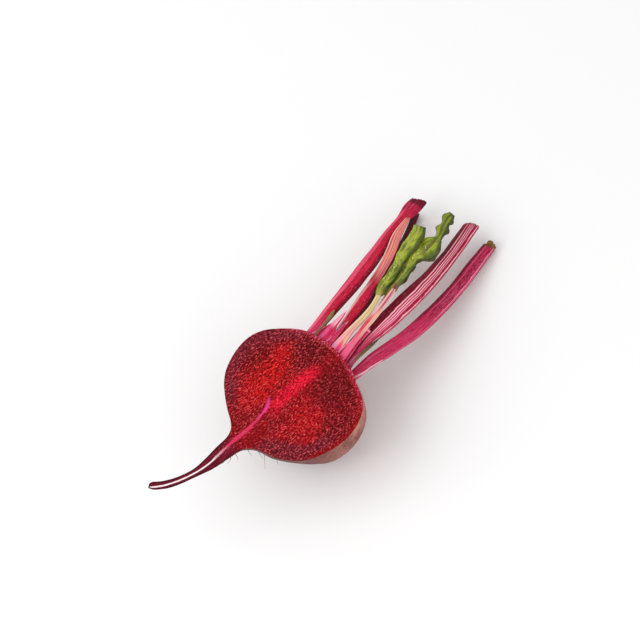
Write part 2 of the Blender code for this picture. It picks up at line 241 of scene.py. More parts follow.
def grid_piece(name: str, columns: int, lines: int, place: Place) -> bpy.types.Object:
    """Adds a flat grid and bends it into a piece.

    Args:
        name: The new object's name.
        columns: Steps along the piece.
        lines: Steps across or round it.
        place: Turns the grid's shares along and across into places in millimetres, in the beetroot's own frame.

    Returns:
        The piece, with the numbers "along" and "across" on its points.
    """
    deselect_all()
    bpy.ops.mesh.primitive_grid_add(x_subdivisions=columns, y_subdivisions=lines, size=1.0, calc_uvs=True)
    piece = bpy.context.object
    piece.name = piece.data.name = name
    share = read_points(piece).astype(float) + 0.5
    along, across = np.clip(share[:, 0], 0.0, 1.0), np.clip(share[:, 1], 0.0, 1.0)
    write_numbers(piece, "along", along)
    write_numbers(piece, "across", across)
    low, high = np.array(CAD_BOX)
    placed = np.clip((place(along, across) + SHIFT) * MM, low + BOX_MARGIN, high - BOX_MARGIN)
    piece.data.vertices.foreach_set("co", placed.astype(np.float32).ravel())
    piece.data.update()
    return piece


def close_up(piece: bpy.types.Object, gap: float = 1e-6) -> None:
    """Merges the points of a piece that lie on each other, and turns its faces outwards."""
    take_up(piece)
    bpy.ops.object.mode_set(mode="EDIT")
    bpy.ops.mesh.select_all(action="SELECT")
    bpy.ops.mesh.remove_doubles(threshold=gap)
    bpy.ops.mesh.normals_make_consistent(inside=False)
    bpy.ops.object.mode_set(mode="OBJECT")
    bpy.ops.object.shade_smooth()


def hand_over(piece: bpy.types.Object, slot: str, *nodes: str) -> None:
    """Gives a finished piece to the frame: its body and the nodes that it stands for."""
    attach(piece, BODY)
    if nodes:
        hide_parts(*nodes)
    LOG.info("%s: %d faces", piece.name, len(piece.data.polygons))


class Number:
    """A number socket that takes Python's arithmetic, each step adding a Math node."""

    def __init__(self, paint: Paint, socket: bpy.types.NodeSocket) -> None:
        """Keeps the socket and the paint that it belongs to."""
        self.paint = paint
        self.socket = socket

    def _math(self, operation: str, first: object, second: object = 0.0, clamp: bool = False) -> Number:
        """Adds one Math node.

        Args:
            operation: The node's operation.
            first: A number or a Number.
            second: A number or a Number.
            clamp: Whether the result is held between 0 and 1.

        Returns:
            The node's result.
        """
        settings = {"operation": operation, "use_clamp": clamp}
        return self.paint.number(self.paint.node("ShaderNodeMath", settings, {0: first, 1: second}))

    def __add__(self, other: object) -> Number:
        """Adds a number."""
        return self._math("ADD", self, other)

    def __sub__(self, other: object) -> Number:
        """Takes a number away."""
        return self._math("SUBTRACT", self, other)

    def __rsub__(self, other: object) -> Number:
        """Takes this away from a number."""
        return self._math("SUBTRACT", other, self)

    def __mul__(self, other: object) -> Number:
        """Multiplies by a number."""
        return self._math("MULTIPLY", self, other)

    __radd__ = __add__
    __rmul__ = __mul__

    def wave(self) -> Number:
        """The sine of this number."""
        return self._math("SINE", self)

    def size(self) -> Number:
        """This number without its sign."""
        return self._math("ABSOLUTE", self)

    def above(self, limit: float) -> Number:
        """1 where this number is over the limit, else 0."""
        return self._math("GREATER_THAN", self, limit)

    def held(self) -> Number:
        """This number held between 0 and 1."""
        return self._math("ADD", self, 0.0, clamp=True)

    def over(self, low: float, high: float) -> Number:
        """Runs smoothly from 0 at low to 1 at high, which may lie below low."""
        settings = {"interpolation_type": "SMOOTHSTEP", "clamp": True}
        if low <= high:
            return self.paint.number(self.paint.node("ShaderNodeMapRange", settings, {0: self, 1: low, 2: high}))
        inputs = {0: self, 1: high, 2: low, 3: 1.0, 4: 0.0}
        return self.paint.number(self.paint.node("ShaderNodeMapRange", settings, inputs))


class Paint:
    """A material that is being built, with one Principled shader."""

    def __init__(self, name: str) -> None:
        """Starts an empty material of this name."""
        self.material = bpy.data.materials.new(name)
        self.material.use_nodes = True
        self.tree = self.material.node_tree
        self.shader = self.tree.nodes["Principled BSDF"]

    def node(self, kind: str, settings: dict | None = None, inputs: dict | None = None) -> bpy.types.Node:
        """Adds a node, sets it and fills or links its inputs.

        Args:
            kind: The node's type.
            settings: The node's own settings, set first.
            inputs: Values or links by the socket's name or number.

        Returns:
            The node.
        """
        made = self.tree.nodes.new(kind)
        for key, value in (settings or {}).items():
            setattr(made, key, value)
        for key, value in (inputs or {}).items():
            self.feed(made.inputs[key], value)
        return made

    def feed(self, socket: bpy.types.NodeSocket, value: object) -> None:
        """Links a socket to a Number or an output, or sets it to a plain value."""
        if isinstance(value, Number):
            value = value.socket
        if isinstance(value, bpy.types.NodeSocket):
            self.tree.links.new(value, socket)
        else:
            socket.default_value = value

    def number(self, made: bpy.types.Node, output: str | int = 0) -> Number:
        """Wraps a node's output as a Number."""
        return Number(self, made.outputs[output])

    def kept(self, name: str) -> Number:
        """A number that the mesh keeps for each point."""
        return self.number(self.node("ShaderNodeAttribute", {"attribute_name": name}), "Fac")

    def place(self) -> bpy.types.NodeSocket:
        """The place on the object, in metres."""
        return self.node("ShaderNodeTexCoord").outputs["Object"]

    def surface(self) -> bpy.types.NodeSocket:
        """The place on the piece's own map: the share along it and the share across or round it."""
        return self.node("ShaderNodeUVMap", {"uv_map": "UVMap"}).outputs["UV"]

    def along_and_across(self) -> tuple[Number, Number]:
        """The two shares of the piece's own map."""
        split = self.node("ShaderNodeSeparateXYZ", None, {0: self.surface()})
        return self.number(split, "X"), self.number(split, "Y")

    def stretched(self, vector: bpy.types.NodeSocket, scale: tuple[float, float, float]) -> bpy.types.NodeSocket:
        """A vector scaled by three factors."""
        made = self.node("ShaderNodeVectorMath", {"operation": "MULTIPLY"}, {0: vector, 1: scale})
        return made.outputs[0]

    def noise(self, vector: bpy.types.NodeSocket, scale: float, detail: float = 3.0, rough: float = 0.5) -> Number:
        """Cloudy noise, mostly from 0.3 to 0.7."""
        inputs = {"Vector": vector, "Scale": scale, "Detail": detail, "Roughness": rough}
        return self.number(self.node("ShaderNodeTexNoise", None, inputs), "Fac")

    def cells(self, vector: bpy.types.NodeSocket, scale: float, feature: str = "F1") -> Number:
        """How far the nearest cell's middle or edge lies."""
        made = self.node("ShaderNodeTexVoronoi", {"feature": feature}, {"Vector": vector, "Scale": scale})
        return self.number(made, "Distance")

    def mix(self, factor: object, below: object, above: object) -> bpy.types.NodeSocket:
        """Mixes two colours: below where the factor is 0 and above where it is 1."""
        return self.node("ShaderNodeMix", {"data_type": "RGBA"}, {"Factor": factor, 6: below, 7: above}).outputs[2]

    def relief(self, height: Number, depth: float, strength: float = 1.0) -> None:
        """Feeds the shader's normal with a bump of this depth in metres."""
        inputs = {"Strength": strength, "Distance": depth, "Height": height}
        self.feed(self.shader.inputs["Normal"], self.node("ShaderNodeBump", None, inputs).outputs[0])

    def finish(
        self, colour: object, rough: object, coat: float = 0.0, flesh: float = 0.0, shine: float = 0.5
    ) -> bpy.types.Material:
        """Closes the material.

        Args:
            colour: The base colour, plain or linked.
            rough: The roughness, plain or linked.
            coat: The weight of a clear wet coat.
            flesh: How much light spreads under the surface.
            shine: The level of the highlights.

        Returns:
            The material.
        """
        values = {
            "Base Color": colour,
            "Roughness": rough,
            "Specular IOR Level": shine,
            "Coat Weight": coat,
            "Coat Roughness": 0.18,
            "Subsurface Weight": flesh,
            "Subsurface Radius": (1.0, 0.25, 0.2),
            "Subsurface Scale": 0.0015,
        }
        for name, value in values.items():
            self.feed(self.shader.inputs[name], value)
        return self.material


@dataclass(frozen=True)
class FleshFinish:
    """The wet cut face: deep red grains with painted shade and highlights, soft zones, a bright core and a pale
    thread down the tail.
    """

    deep: Colour = shade(146, 4, 16)
    bright: Colour = shade(196, 6, 16)
    gloomy: Colour = shade(106, 0, 10)
    mauve: Colour = shade(124, 30, 46)
    smooth_rim: Colour = shade(142, 0, 8)
    glow: Colour = shade(238, 14, 54)
    thread: Colour = shade(238, 66, 140)
    low_thread: Colour = shade(228, 54, 98)
    pale_thread: Colour = shade(255, 236, 240)
    painted_glint: Colour = shade(224, 92, 94)
    hot_painted_glint: Colour = shade(250, 78, 66)
    fringe: Colour = shade(236, 124, 146)
    crown: Colour = shade(176, 14, 50)
    hollow_shade: Colour = shade(58, 0, 6)
    tail: Colour = shade(96, 6, 30)
    tail_light: Colour = shade(156, 30, 64)
    bright_spots: Rows = (
        (9.0, 20.0, 9.0, 0.8), (-2.0, 18.0, 10.0, 0.9), (-15.0, 16.0, 12.0, 0.95), (-9.0, -21.0, 12.0, 0.6),
        (-4.0, -14.0, 13.0, 0.45),
    )
    gloomy_spots: Rows = (
        (18.0, 12.0, 13.0, 0.8), (16.0, -14.0, 17.0, 0.8), (3.0, -30.0, 12.0, 0.6), (-2.0, 34.0, 13.0, 0.7),
    )
    grain_scale: float = 1620.0
    grain_share: float = 0.46
    grain_turns: tuple = (math.radians(29.0), math.radians(80.0))

    def build(self) -> bpy.types.Material:
        """Builds the material from the distances that the mesh keeps."""
        paint = Paint("wet_flesh")
        rim, station, side = paint.kept("rim_mm"), paint.kept("station_mm"), paint.kept("side_mm")
        cloud = paint.noise(paint.place(), 120.0, 3.0)
        colour = self.zones(paint, rim + cloud * 6.0 - 3.0, cloud)
        warm = paint.kept("core_mm").over(6.0, 0.5) * station.over(-20.0, -8.0) * station.over(20.0, 9.0)
        colour = paint.mix(warm * cloud.over(0.18, 0.42), colour, self.glow)
        colour = paint.mix(station.over(-36.0, -46.0), colour, self.tail)
        inputs = {0: station * 0.1, 1: paint.kept("thread_mm") * 1.6, 2: side.over(-1.0, 6.0)}
        lines = paint.node("ShaderNodeCombineXYZ", None, inputs)
        lined = paint.noise(lines.outputs[0], 1.0, 3.0, 0.6)
        colour = paint.mix(lined.over(0.48, 0.64) * station.over(-38.0, -48.0) * 0.8, colour, self.tail_light)
        red_rim = (rim + cloud * 2.0).over(4.8, 2.0) * side.over(-4.0, -16.0) * station.over(-24.0, -14.0)
        colour = paint.mix(red_rim, colour, self.smooth_rim)
        hot = (warm + self.spot(paint, -2.0, 17.0, 18.0)).held()
        strong = (1.0 - red_rim * 0.5) * (station.over(-52.0, -38.0) * 0.8 + 0.2) * (1.0 - warm * 0.15)
        colour = self.grains(paint, colour, hot, strong)
        crown = (rim + cloud * 3.0).over(4.2, 1.6) * station.over(15.0, 22.0)
        colour = paint.mix(crown * 0.55, colour, self.crown)
        specks = paint.noise(paint.place(), 1100.0, 2.0).over(0.53, 0.62)
        colour = paint.mix(crown * specks * 0.75, colour, self.fringe)
        return paint.finish(self.threaded(paint, colour), 0.4, shine=0.08)

    def zones(self, paint: Paint, rim: Number, cloud: Number) -> bpy.types.NodeSocket:
        """Lays the soft zones of the face: deep red, brighter and darker spots, and mauve near parts of the rim.

        Args:
            paint: The material.
            rim: About how far the rim lies, in millimetres.
            cloud: Broad noise.

        Returns:
            The colour under the core and the grains.
        """
        station, side = paint.kept("station_mm"), paint.kept("side_mm")
        colour = paint.mix(cloud.over(0.42, 0.62) * 0.5 * rim.over(4.0, 12.0), self.deep, self.bright)
        for spots, tone in ((self.bright_spots, self.bright), (self.gloomy_spots, self.gloomy)):
            for x, y, radius, share in spots:
                colour = paint.mix(self.spot(paint, x, y, radius) * share, colour, tone)
        colour = paint.mix(rim.over(10.0, 3.0) * side.over(14.0, 26.0) * 0.9, colour, self.mauve)
        low = rim.over(11.0, 7.0) * side.over(-6.0, -13.0) * station.over(2.0, -8.0)
        return paint.mix(low * 0.85, colour, self.mauve)

    def threaded(self, paint: Paint, colour: object) -> bpy.types.NodeSocket:
        """Adds the pale thread, its white stripe down the tail and painted shade along the crease at the tail's rim.

        Args:
            paint: The material.
            colour: The colour with its grains.

        Returns:
            The colour of the whole face.
        """
        station, thread = paint.kept("station_mm"), paint.kept("thread_mm")
        edge = paint.noise(paint.place(), 700.0, 3.0, 0.6) * 2.2 - 1.1
        fine = paint.noise(paint.place(), 1500.0, 2.0)
        wide = station.over(-24.0, -33.0) * station.over(-50.0, -36.0) * 0.55
        body = (thread + edge * 0.8 - wide - station.over(-26.0, -14.0) * 0.35).over(1.05, 0.05)
        body = body * station.over(-56.0, -48.0) * station.over(-10.4, -14.0)
        pale = paint.mix(station.over(-18.0, -28.0), self.thread, self.low_thread)
        pale = paint.mix(station.over(-42.0, -52.0) * 0.7, pale, self.pale_thread)
        colour = paint.mix(body * (fine.over(0.3, 0.6) * 0.45 + 0.5), colour, pale)
        stripe = (thread + edge * 0.2).over(0.62, 0.2) * station.over(-49.0, -54.0)
        colour = paint.mix(stripe * 0.95, colour, self.pale_thread)
        # Painted shade in the crease along the tail's rim.
        crease = (paint.kept("rim_mm") + edge * 0.2).over(1.1, 0.5) * station.over(-36.0, -46.0)
        return paint.mix(crease * 0.85, colour, self.hollow_shade)

    def spot(self, paint: Paint, x: float, y: float, radius: float) -> Number:
        """A soft round patch of the face, 1 in its middle and 0 at its edge, in millimetres."""
        across, over = paint.kept("station_mm") - x, paint.kept("side_mm") - y
        return (across * across + over * over).over(radius * radius, radius * radius * 0.08)

    def grains(self, paint: Paint, colour: object, hot: Number, strong: Number) -> bpy.types.NodeSocket:
        """Breaks a colour up into fine long grains that lie one way on the left and another on the right, with
        painted shade in their hollows and painted highlights on their crests.

        Args:
            paint: The material.
            colour: The colour between the grains.
            hot: Where the painted highlights on the grains are bright red instead of dusty pink.
            strong: How strongly the grains show.

        Returns:
            The colour with grains, whose relief is set too.
        """
        place = paint.place()
        sway = paint.noise(place, 90.0, 2.0)
        bend = paint.node("ShaderNodeCombineXYZ", None, {0: sway, 1: sway * -0.7, 2: 0.0}).outputs[0]
        settings = {"operation": "MULTIPLY_ADD"}
        bent = paint.node("ShaderNodeVectorMath", settings, {0: bend, 1: (0.006, 0.006, 0.0), 2: place}).outputs[0]
        lots = []
        for turn in self.grain_turns:
            inputs = {"Vector": bent, "Rotation": (0.0, 0.0, -turn), "Scale": (self.grain_share, 1.0, 1.0)}
            turned = paint.node("ShaderNodeMapping", None, inputs).outputs[0]
            lots.append(paint.noise(turned, self.grain_scale, 1.0, 0.5))
        share = (paint.kept("side_mm") + sway * 24.0 - 12.0).over(7.0, -7.0)
        grain = lots[0] * (1.0 - share) + lots[1] * share
        fine = paint.noise(place, 2600.0, 1.0)
        height = grain + fine * 0.12 - 0.06
        # Painted shade in the hollows between the grains.
        colour = paint.mix(height.over(0.50, 0.40) * 0.8 * strong, colour, self.hollow_shade)
        # Painted highlights on the grain crests, red in the core and dusty pink elsewhere, thinned out in patches.
        painted_glint = paint.mix(hot, self.painted_glint, self.hot_painted_glint)
        patchy = paint.noise(place, 240.0, 2.0).over(0.34, 0.6) * 0.5 + 0.36
        patchy = patchy * (1.0 - self.spot(paint, 14.0, -14.0, 22.0) * 0.4)
        colour = paint.mix(height.over(0.56, 0.66) * patchy * strong, colour, painted_glint)
        paint.relief(height * strong, 0.0006, 0.8)
        return colour


@dataclass(frozen=True)
class SkinFinish:
    """The dusty skin of the back: mauve and tan in patches, fine rings, scars, and brown at the crown and tail."""

    mauve: Colour = shade(122, 54, 54)
    tan: Colour = shade(188, 124, 110)
    wine: Colour = shade(88, 24, 30)
    brown: Colour = shade(104, 76, 58)
    dust: Colour = shade(196, 152, 132)
    scar: Colour = shade(72, 44, 40)

    def build(self) -> bpy.types.Material:
        """Builds the material from the skin's own map and place."""
        paint = Paint("dusty_skin")
        place, surface = paint.place(), paint.surface()
        station = paint.kept("station_mm")
        patch = paint.noise(place, 36.0, 4.0, 0.6)
        colour = paint.mix(patch.over(0.36, 0.60), self.mauve, self.tan)
        blotch = paint.noise(place, 60.0, 4.0, 0.6).over(0.50, 0.64)
        colour = paint.mix(blotch * (0.75 - station.over(-8.0, 14.0) * 0.35), colour, self.wine)
        rings = paint.noise(paint.stretched(surface, (150.0, 5.0, 1.0)), 1.0, 3.0, 0.6)
        colour = paint.mix(rings.over(0.55, 0.72) * 0.5, colour, self.dust)
        colour = paint.mix(rings.over(0.42, 0.30) * 0.5, colour, self.wine)
        colour = paint.mix((station + patch * 20.0 - 10.0).over(12.0, -16.0) * 0.85, colour, self.wine)
        ends = (station.over(-24.0, -52.0) * 0.8 + station.over(17.0, 27.0) * 0.85).held()
        grime = paint.noise(place, 160.0, 4.0, 0.7)
        colour = paint.mix(ends * grime.over(0.36, 0.56), colour, self.brown)
        scars = paint.cells(paint.stretched(surface, (46.0, 13.0, 1.0)), 1.0)
        marks = scars.over(0.16, 0.05) * paint.noise(place, 80.0, 1.0).over(0.50, 0.60)
        colour = paint.mix(marks * 0.8, colour, self.scar)
        speck = paint.noise(place, 800.0, 5.0, 0.75)
        colour = paint.mix(speck.over(0.52, 0.66) * 0.45, colour, self.dust)
        colour = paint.mix(speck.over(0.48, 0.36) * 0.55, colour, self.wine)
        paint.relief(rings * 0.5 + grime * 0.6 + speck * 0.25 - marks * 0.6, 0.0007, 0.8)
        return paint.finish(colour, speck * 0.3 + 0.45, shine=0.18)


@dataclass(frozen=True)
class Band:
    """A lengthwise band, line or crease of a stem, which both its colour and its shape follow.

    It runs between two rows of the stem. Its middle is given at both, as a share of the way round the stem from its
    right side over the top. If it is flat, it is a share across a sliced face, from -1 at the left to 1 at the right.
    """

    colour: Colour
    rows: tuple[float, float]
    at: tuple[float, float]
    wide: float
    strength: float = 0.85
    rise: float = 0.0
    flat: bool = False
    soft: float = 0.6
    fade: float = 0.5

    def amount(self, row: Number, where: Number) -> Number:
        """How strongly the band shows at a row and a place round or across the stem."""
        (first, last), (start, end) = self.rows, self.at
        slope = (end - start) / (last - first)
        apart = (where - row * slope - (start - slope * first)).size()
        run = row.over(first - self.fade, first + self.fade) * row.over(last + self.fade, last - self.fade)
        return apart.over(self.wide, self.wide * (1.0 - self.soft)) * run * self.strength

    def lift(self, row: np.ndarray, where: np.ndarray) -> np.ndarray:
        """How far the band stands out of the stem, in millimetres."""
        (first, last), (start, end) = self.rows, self.at
        middle = start + (end - start) / (last - first) * (row - first)
        run = ease(row, first - self.fade, first + self.fade) * ease(row, last + self.fade, last - self.fade)
        return self.rise * run * np.exp(-(((where - middle) / self.wide) ** 2))


@dataclass(frozen=True)
class StemFinish:
    """A stem's skin: a ground colour with lengthwise streaks, bands and creases, painted shade underneath, painted
    highlight glints, a foot and a dry end.
    """

    name: str
    ground: Colour
    streak: Colour
    dark: Colour
    bands: tuple[Band, ...] = ()
    foot: Colour = shade(240, 84, 140)
    foot_row: float = 0.4
    foot_share: float = 0.8
    tip: Colour = shade(112, 72, 40)
    tip_start: float = 0.975
    netting: Colour | None = None
    painted_glint: Colour = shade(255, 150, 170)
    painted_glint_share: float = 0.35
    cloudy: float = 0.45
    gloss: float = 0.42

    def build(self) -> bpy.types.Material:
        """Builds the material on the stem's own map and the rows that its points keep."""
        paint = Paint(self.name)
        row = paint.kept("row")
        along, around = paint.along_and_across()
        seen = around - around.above(SEAM)
        fibre = self.noise(paint, row, seen, 0.55, 46.0, 4.0)
        broad = self.noise(paint, row, seen, 0.9, 6.0, 3.0)
        sway = self.noise(paint, row, seen, 1.6, 2.0, 2.0) * 0.05 - 0.025
        colour = paint.mix(fibre.over(0.42, 0.66), self.ground, self.streak)
        colour = paint.mix(broad.over(0.47, 0.34) * self.cloudy, colour, self.dark)
        # Painted shade on the underside, away from the top a quarter of the way round.
        below = (around - 0.25).size().over(0.24, 0.34)
        colour = paint.mix(below * 0.6, colour, self.dark)
        foot = (row + broad * 0.8 - 0.4).over(self.foot_row + 0.5, self.foot_row - 0.4)
        colour = paint.mix(foot * self.foot_share, colour, self.foot)
        worn = fibre.over(0.2, 0.5) * 0.35 + 0.65
        face = (around - 0.25).size().over(0.235, 0.205)
        # Some bands are painted light: bands with a negative rise are grooves whose dark colour is painted shade, and
        # the finishes below name their painted highlights and shaded flanks.
        for band in self.bands:
            if band.flat:
                amount = band.amount(row, paint.kept("aside") + sway * 3.0) * face
            else:
                amount = band.amount(row, seen + sway)
            colour = paint.mix(amount * worn, colour, band.colour)
        height = fibre * 0.7
        if self.netting:
            dashes = paint.cells(self.vector(paint, row, seen, 4.5, 26.0), 1.0, "DISTANCE_TO_EDGE")
            where = (seen - 0.17).size().over(0.1, 0.08) * row.over(3.4, 4.6)
            holes = dashes.over(0.16, 0.04) * self.noise(paint, row, seen, 3.0, 14.0, 1.0).over(0.34, 0.5) * where
            colour = paint.mix(holes * 0.85, colour, self.netting)
            height = height - holes * 0.3
        # Painted highlights: small pale glints like a waxy shine.
        spots = self.noise(paint, row, seen, 5.0, 60.0, 1.0).over(0.60, 0.72)
        colour = paint.mix(spots * self.painted_glint_share, colour, self.painted_glint)
        dry = (along + fibre * 0.03 - 0.015).over(self.tip_start, self.tip_start + 0.02)
        colour = paint.mix(dry * 0.85, colour, self.tip)
        grain = paint.noise(paint.place(), 1500.0, 2.0)
        paint.relief(height + grain * 0.15, 0.0004, 0.8)
        return paint.finish(colour, grain * 0.2 + self.gloss, flesh=0.03, shine=0.18)

    def vector(self, paint: Paint, row: Number, seen: Number, long: float, wide: float) -> bpy.types.NodeSocket:
        """A place on the stem, stretched along its rows and round it."""
        return paint.node("ShaderNodeCombineXYZ", None, {0: row * long, 1: seen * wide, 2: 3.0}).outputs[0]

    def noise(self, paint: Paint, row: Number, seen: Number, long: float, wide: float, detail: float) -> Number:
        """Noise stretched along the stem, with its seam underneath.

        Args:
            paint: The material.
            row: The row number.
            seen: The share round the stem.
            long: Lumps to a row.
            wide: Lumps round the stem.
            detail: How many finer noises it adds.

        Returns:
            The noise, mostly from 0.3 to 0.7.
        """
        return paint.noise(self.vector(paint, row, seen, long, wide), 1.0, detail, 0.6)


@dataclass(frozen=True)
class CutEndFinish:
    """The sliced end of a stem: pale wet pith in a darker ring, dry and brown in places."""

    name: str
    pith: Colour = shade(214, 120, 128)
    dry: Colour = shade(120, 78, 48)
    core: Colour = shade(150, 30, 60)

    def build(self) -> bpy.types.Material:
        """Builds the material on the place alone."""
        paint = Paint(self.name)
        place = paint.place()
        fibre = paint.cells(place, 1500.0)
        colour = paint.mix(fibre.over(0.25, 0.6), self.pith, self.core)
        colour = paint.mix(paint.noise(place, 420.0, 3.0).over(0.44, 0.60), colour, self.dry)
        paint.relief(fibre, 0.0005, 0.8)
        return paint.finish(colour, 0.6, flesh=0.05)


@dataclass(frozen=True)
class LeafFinish:
    """A young blade: glossy lime green with a pale midrib, painted shade in the pits between the veins and along one
    side, painted highlight sparks and a red-brown edge.
    """

    name: str
    green: Colour = shade(96, 118, 10)
    light: Colour = shade(172, 188, 44)
    dark: Colour = shade(36, 46, 2)
    shine: Colour = shade(236, 246, 190)
    rib: Colour = shade(178, 164, 84)
    late_rib: Colour = shade(48, 30, 8)
    edge: Colour = shade(126, 54, 30)
    foot: Colour = shade(168, 160, 66)
    shaded: tuple = (0.62, 0.8)
    dark_end: float = 0.0

    def build(self) -> bpy.types.Material:
        """Builds the material on the blade's own map."""
        paint = Paint(self.name)
        along, across = paint.along_and_across()
        surface, place = paint.surface(), paint.place()
        side = (across - 0.5).size()
        cloud = paint.noise(place, 130.0, 3.0, 0.5)
        streak = paint.noise(paint.stretched(surface, (5.0, 16.0, 1.0)), 1.0, 3.0)
        blot = paint.noise(paint.stretched(surface, (7.0, 3.0, 1.0)), 1.0, 3.0)
        colour = paint.mix(cloud.over(0.40, 0.62), self.green, self.light)
        vein = ((along * 7.0 - side * 3.0 + blot * 2.4) * (2.0 * math.pi)).wave() * 0.5 + 0.5
        net = paint.cells(paint.stretched(surface, (22.0, 7.0, 1.0)), 1.0, "DISTANCE_TO_EDGE")
        # Painted shade in the pits between the veins.
        colour = paint.mix(vein.over(0.3, 0.0) * blot.over(0.36, 0.56) * 0.55, colour, self.dark)
        colour = paint.mix(streak.over(0.50, 0.64) * 0.7, colour, self.light)
        colour = paint.mix(streak.over(0.46, 0.34) * 0.6, colour, self.dark)
        colour = paint.mix(net.over(0.10, 0.02) * 0.2, colour, self.light)
        colour = paint.mix(blot.over(0.46, 0.34) * 0.6, colour, self.dark)
        colour = paint.mix(blot.over(0.54, 0.66) * 0.6, colour, self.light)
        colour = paint.mix((across + blot * 0.3 - 0.15).over(*self.shaded) * 0.85, colour, self.dark)
        rib = paint.mix(along.over(0.42, 0.6) * self.dark_end, self.rib, self.late_rib)
        off_rib = side + blot * 0.05 - 0.025 - along.over(0.4, 0.6) * (0.03 * self.dark_end)
        colour = paint.mix(off_rib.over(0.06, 0.015) * 0.85, colour, rib)
        sparks = paint.noise(paint.stretched(surface, (34.0, 10.0, 1.0)), 1.0, 1.0).over(0.66, 0.71)
        colour = paint.mix(sparks * across.over(0.7, 0.45) * along.over(0.7, 0.5) * 0.8, colour, self.shine)
        ragged = side + paint.noise(surface, 30.0, 2.0) * 0.12
        colour = paint.mix(ragged.over(0.505, 0.53) * 0.9, colour, self.edge)
        colour = paint.mix(along.over(0.2, 0.02) * 0.8, colour, self.foot)
        if self.dark_end:
            colour = paint.mix((along + blot * 0.2).over(0.66, 0.86) * (self.dark_end * 0.5), colour, self.dark)
        paint.relief(vein * 0.3 + net * 0.2 + streak * 0.7 + cloud * 0.7, 0.0007, 0.6)
        return paint.finish(colour, 0.22, coat=0.2, shine=0.3)


@dataclass(frozen=True)
class PlainPartFinish:
    """A small part's skin: two colours in lengthwise fibres, with a third towards its tip."""

    name: str
    ground: Colour
    streak: Colour
    tip: Colour
    tip_start: float = 0.6

    def build(self) -> bpy.types.Material:
        """Builds the material on the part's own map."""
        paint = Paint(self.name)
        along = paint.along_and_across()[0]
        fibre = paint.noise(paint.stretched(paint.surface(), (3.0, 26.0, 1.0)), 1.0, 4.0, 0.6)
        colour = paint.mix(fibre.over(0.38, 0.64), self.ground, self.streak)
        colour = paint.mix((along + fibre * 0.2 - 0.1).over(self.tip_start, self.tip_start + 0.3), colour, self.tip)
        paint.relief(fibre, 0.0003, 0.8)
        return paint.finish(colour, 0.4, coat=0.15, flesh=0.15)


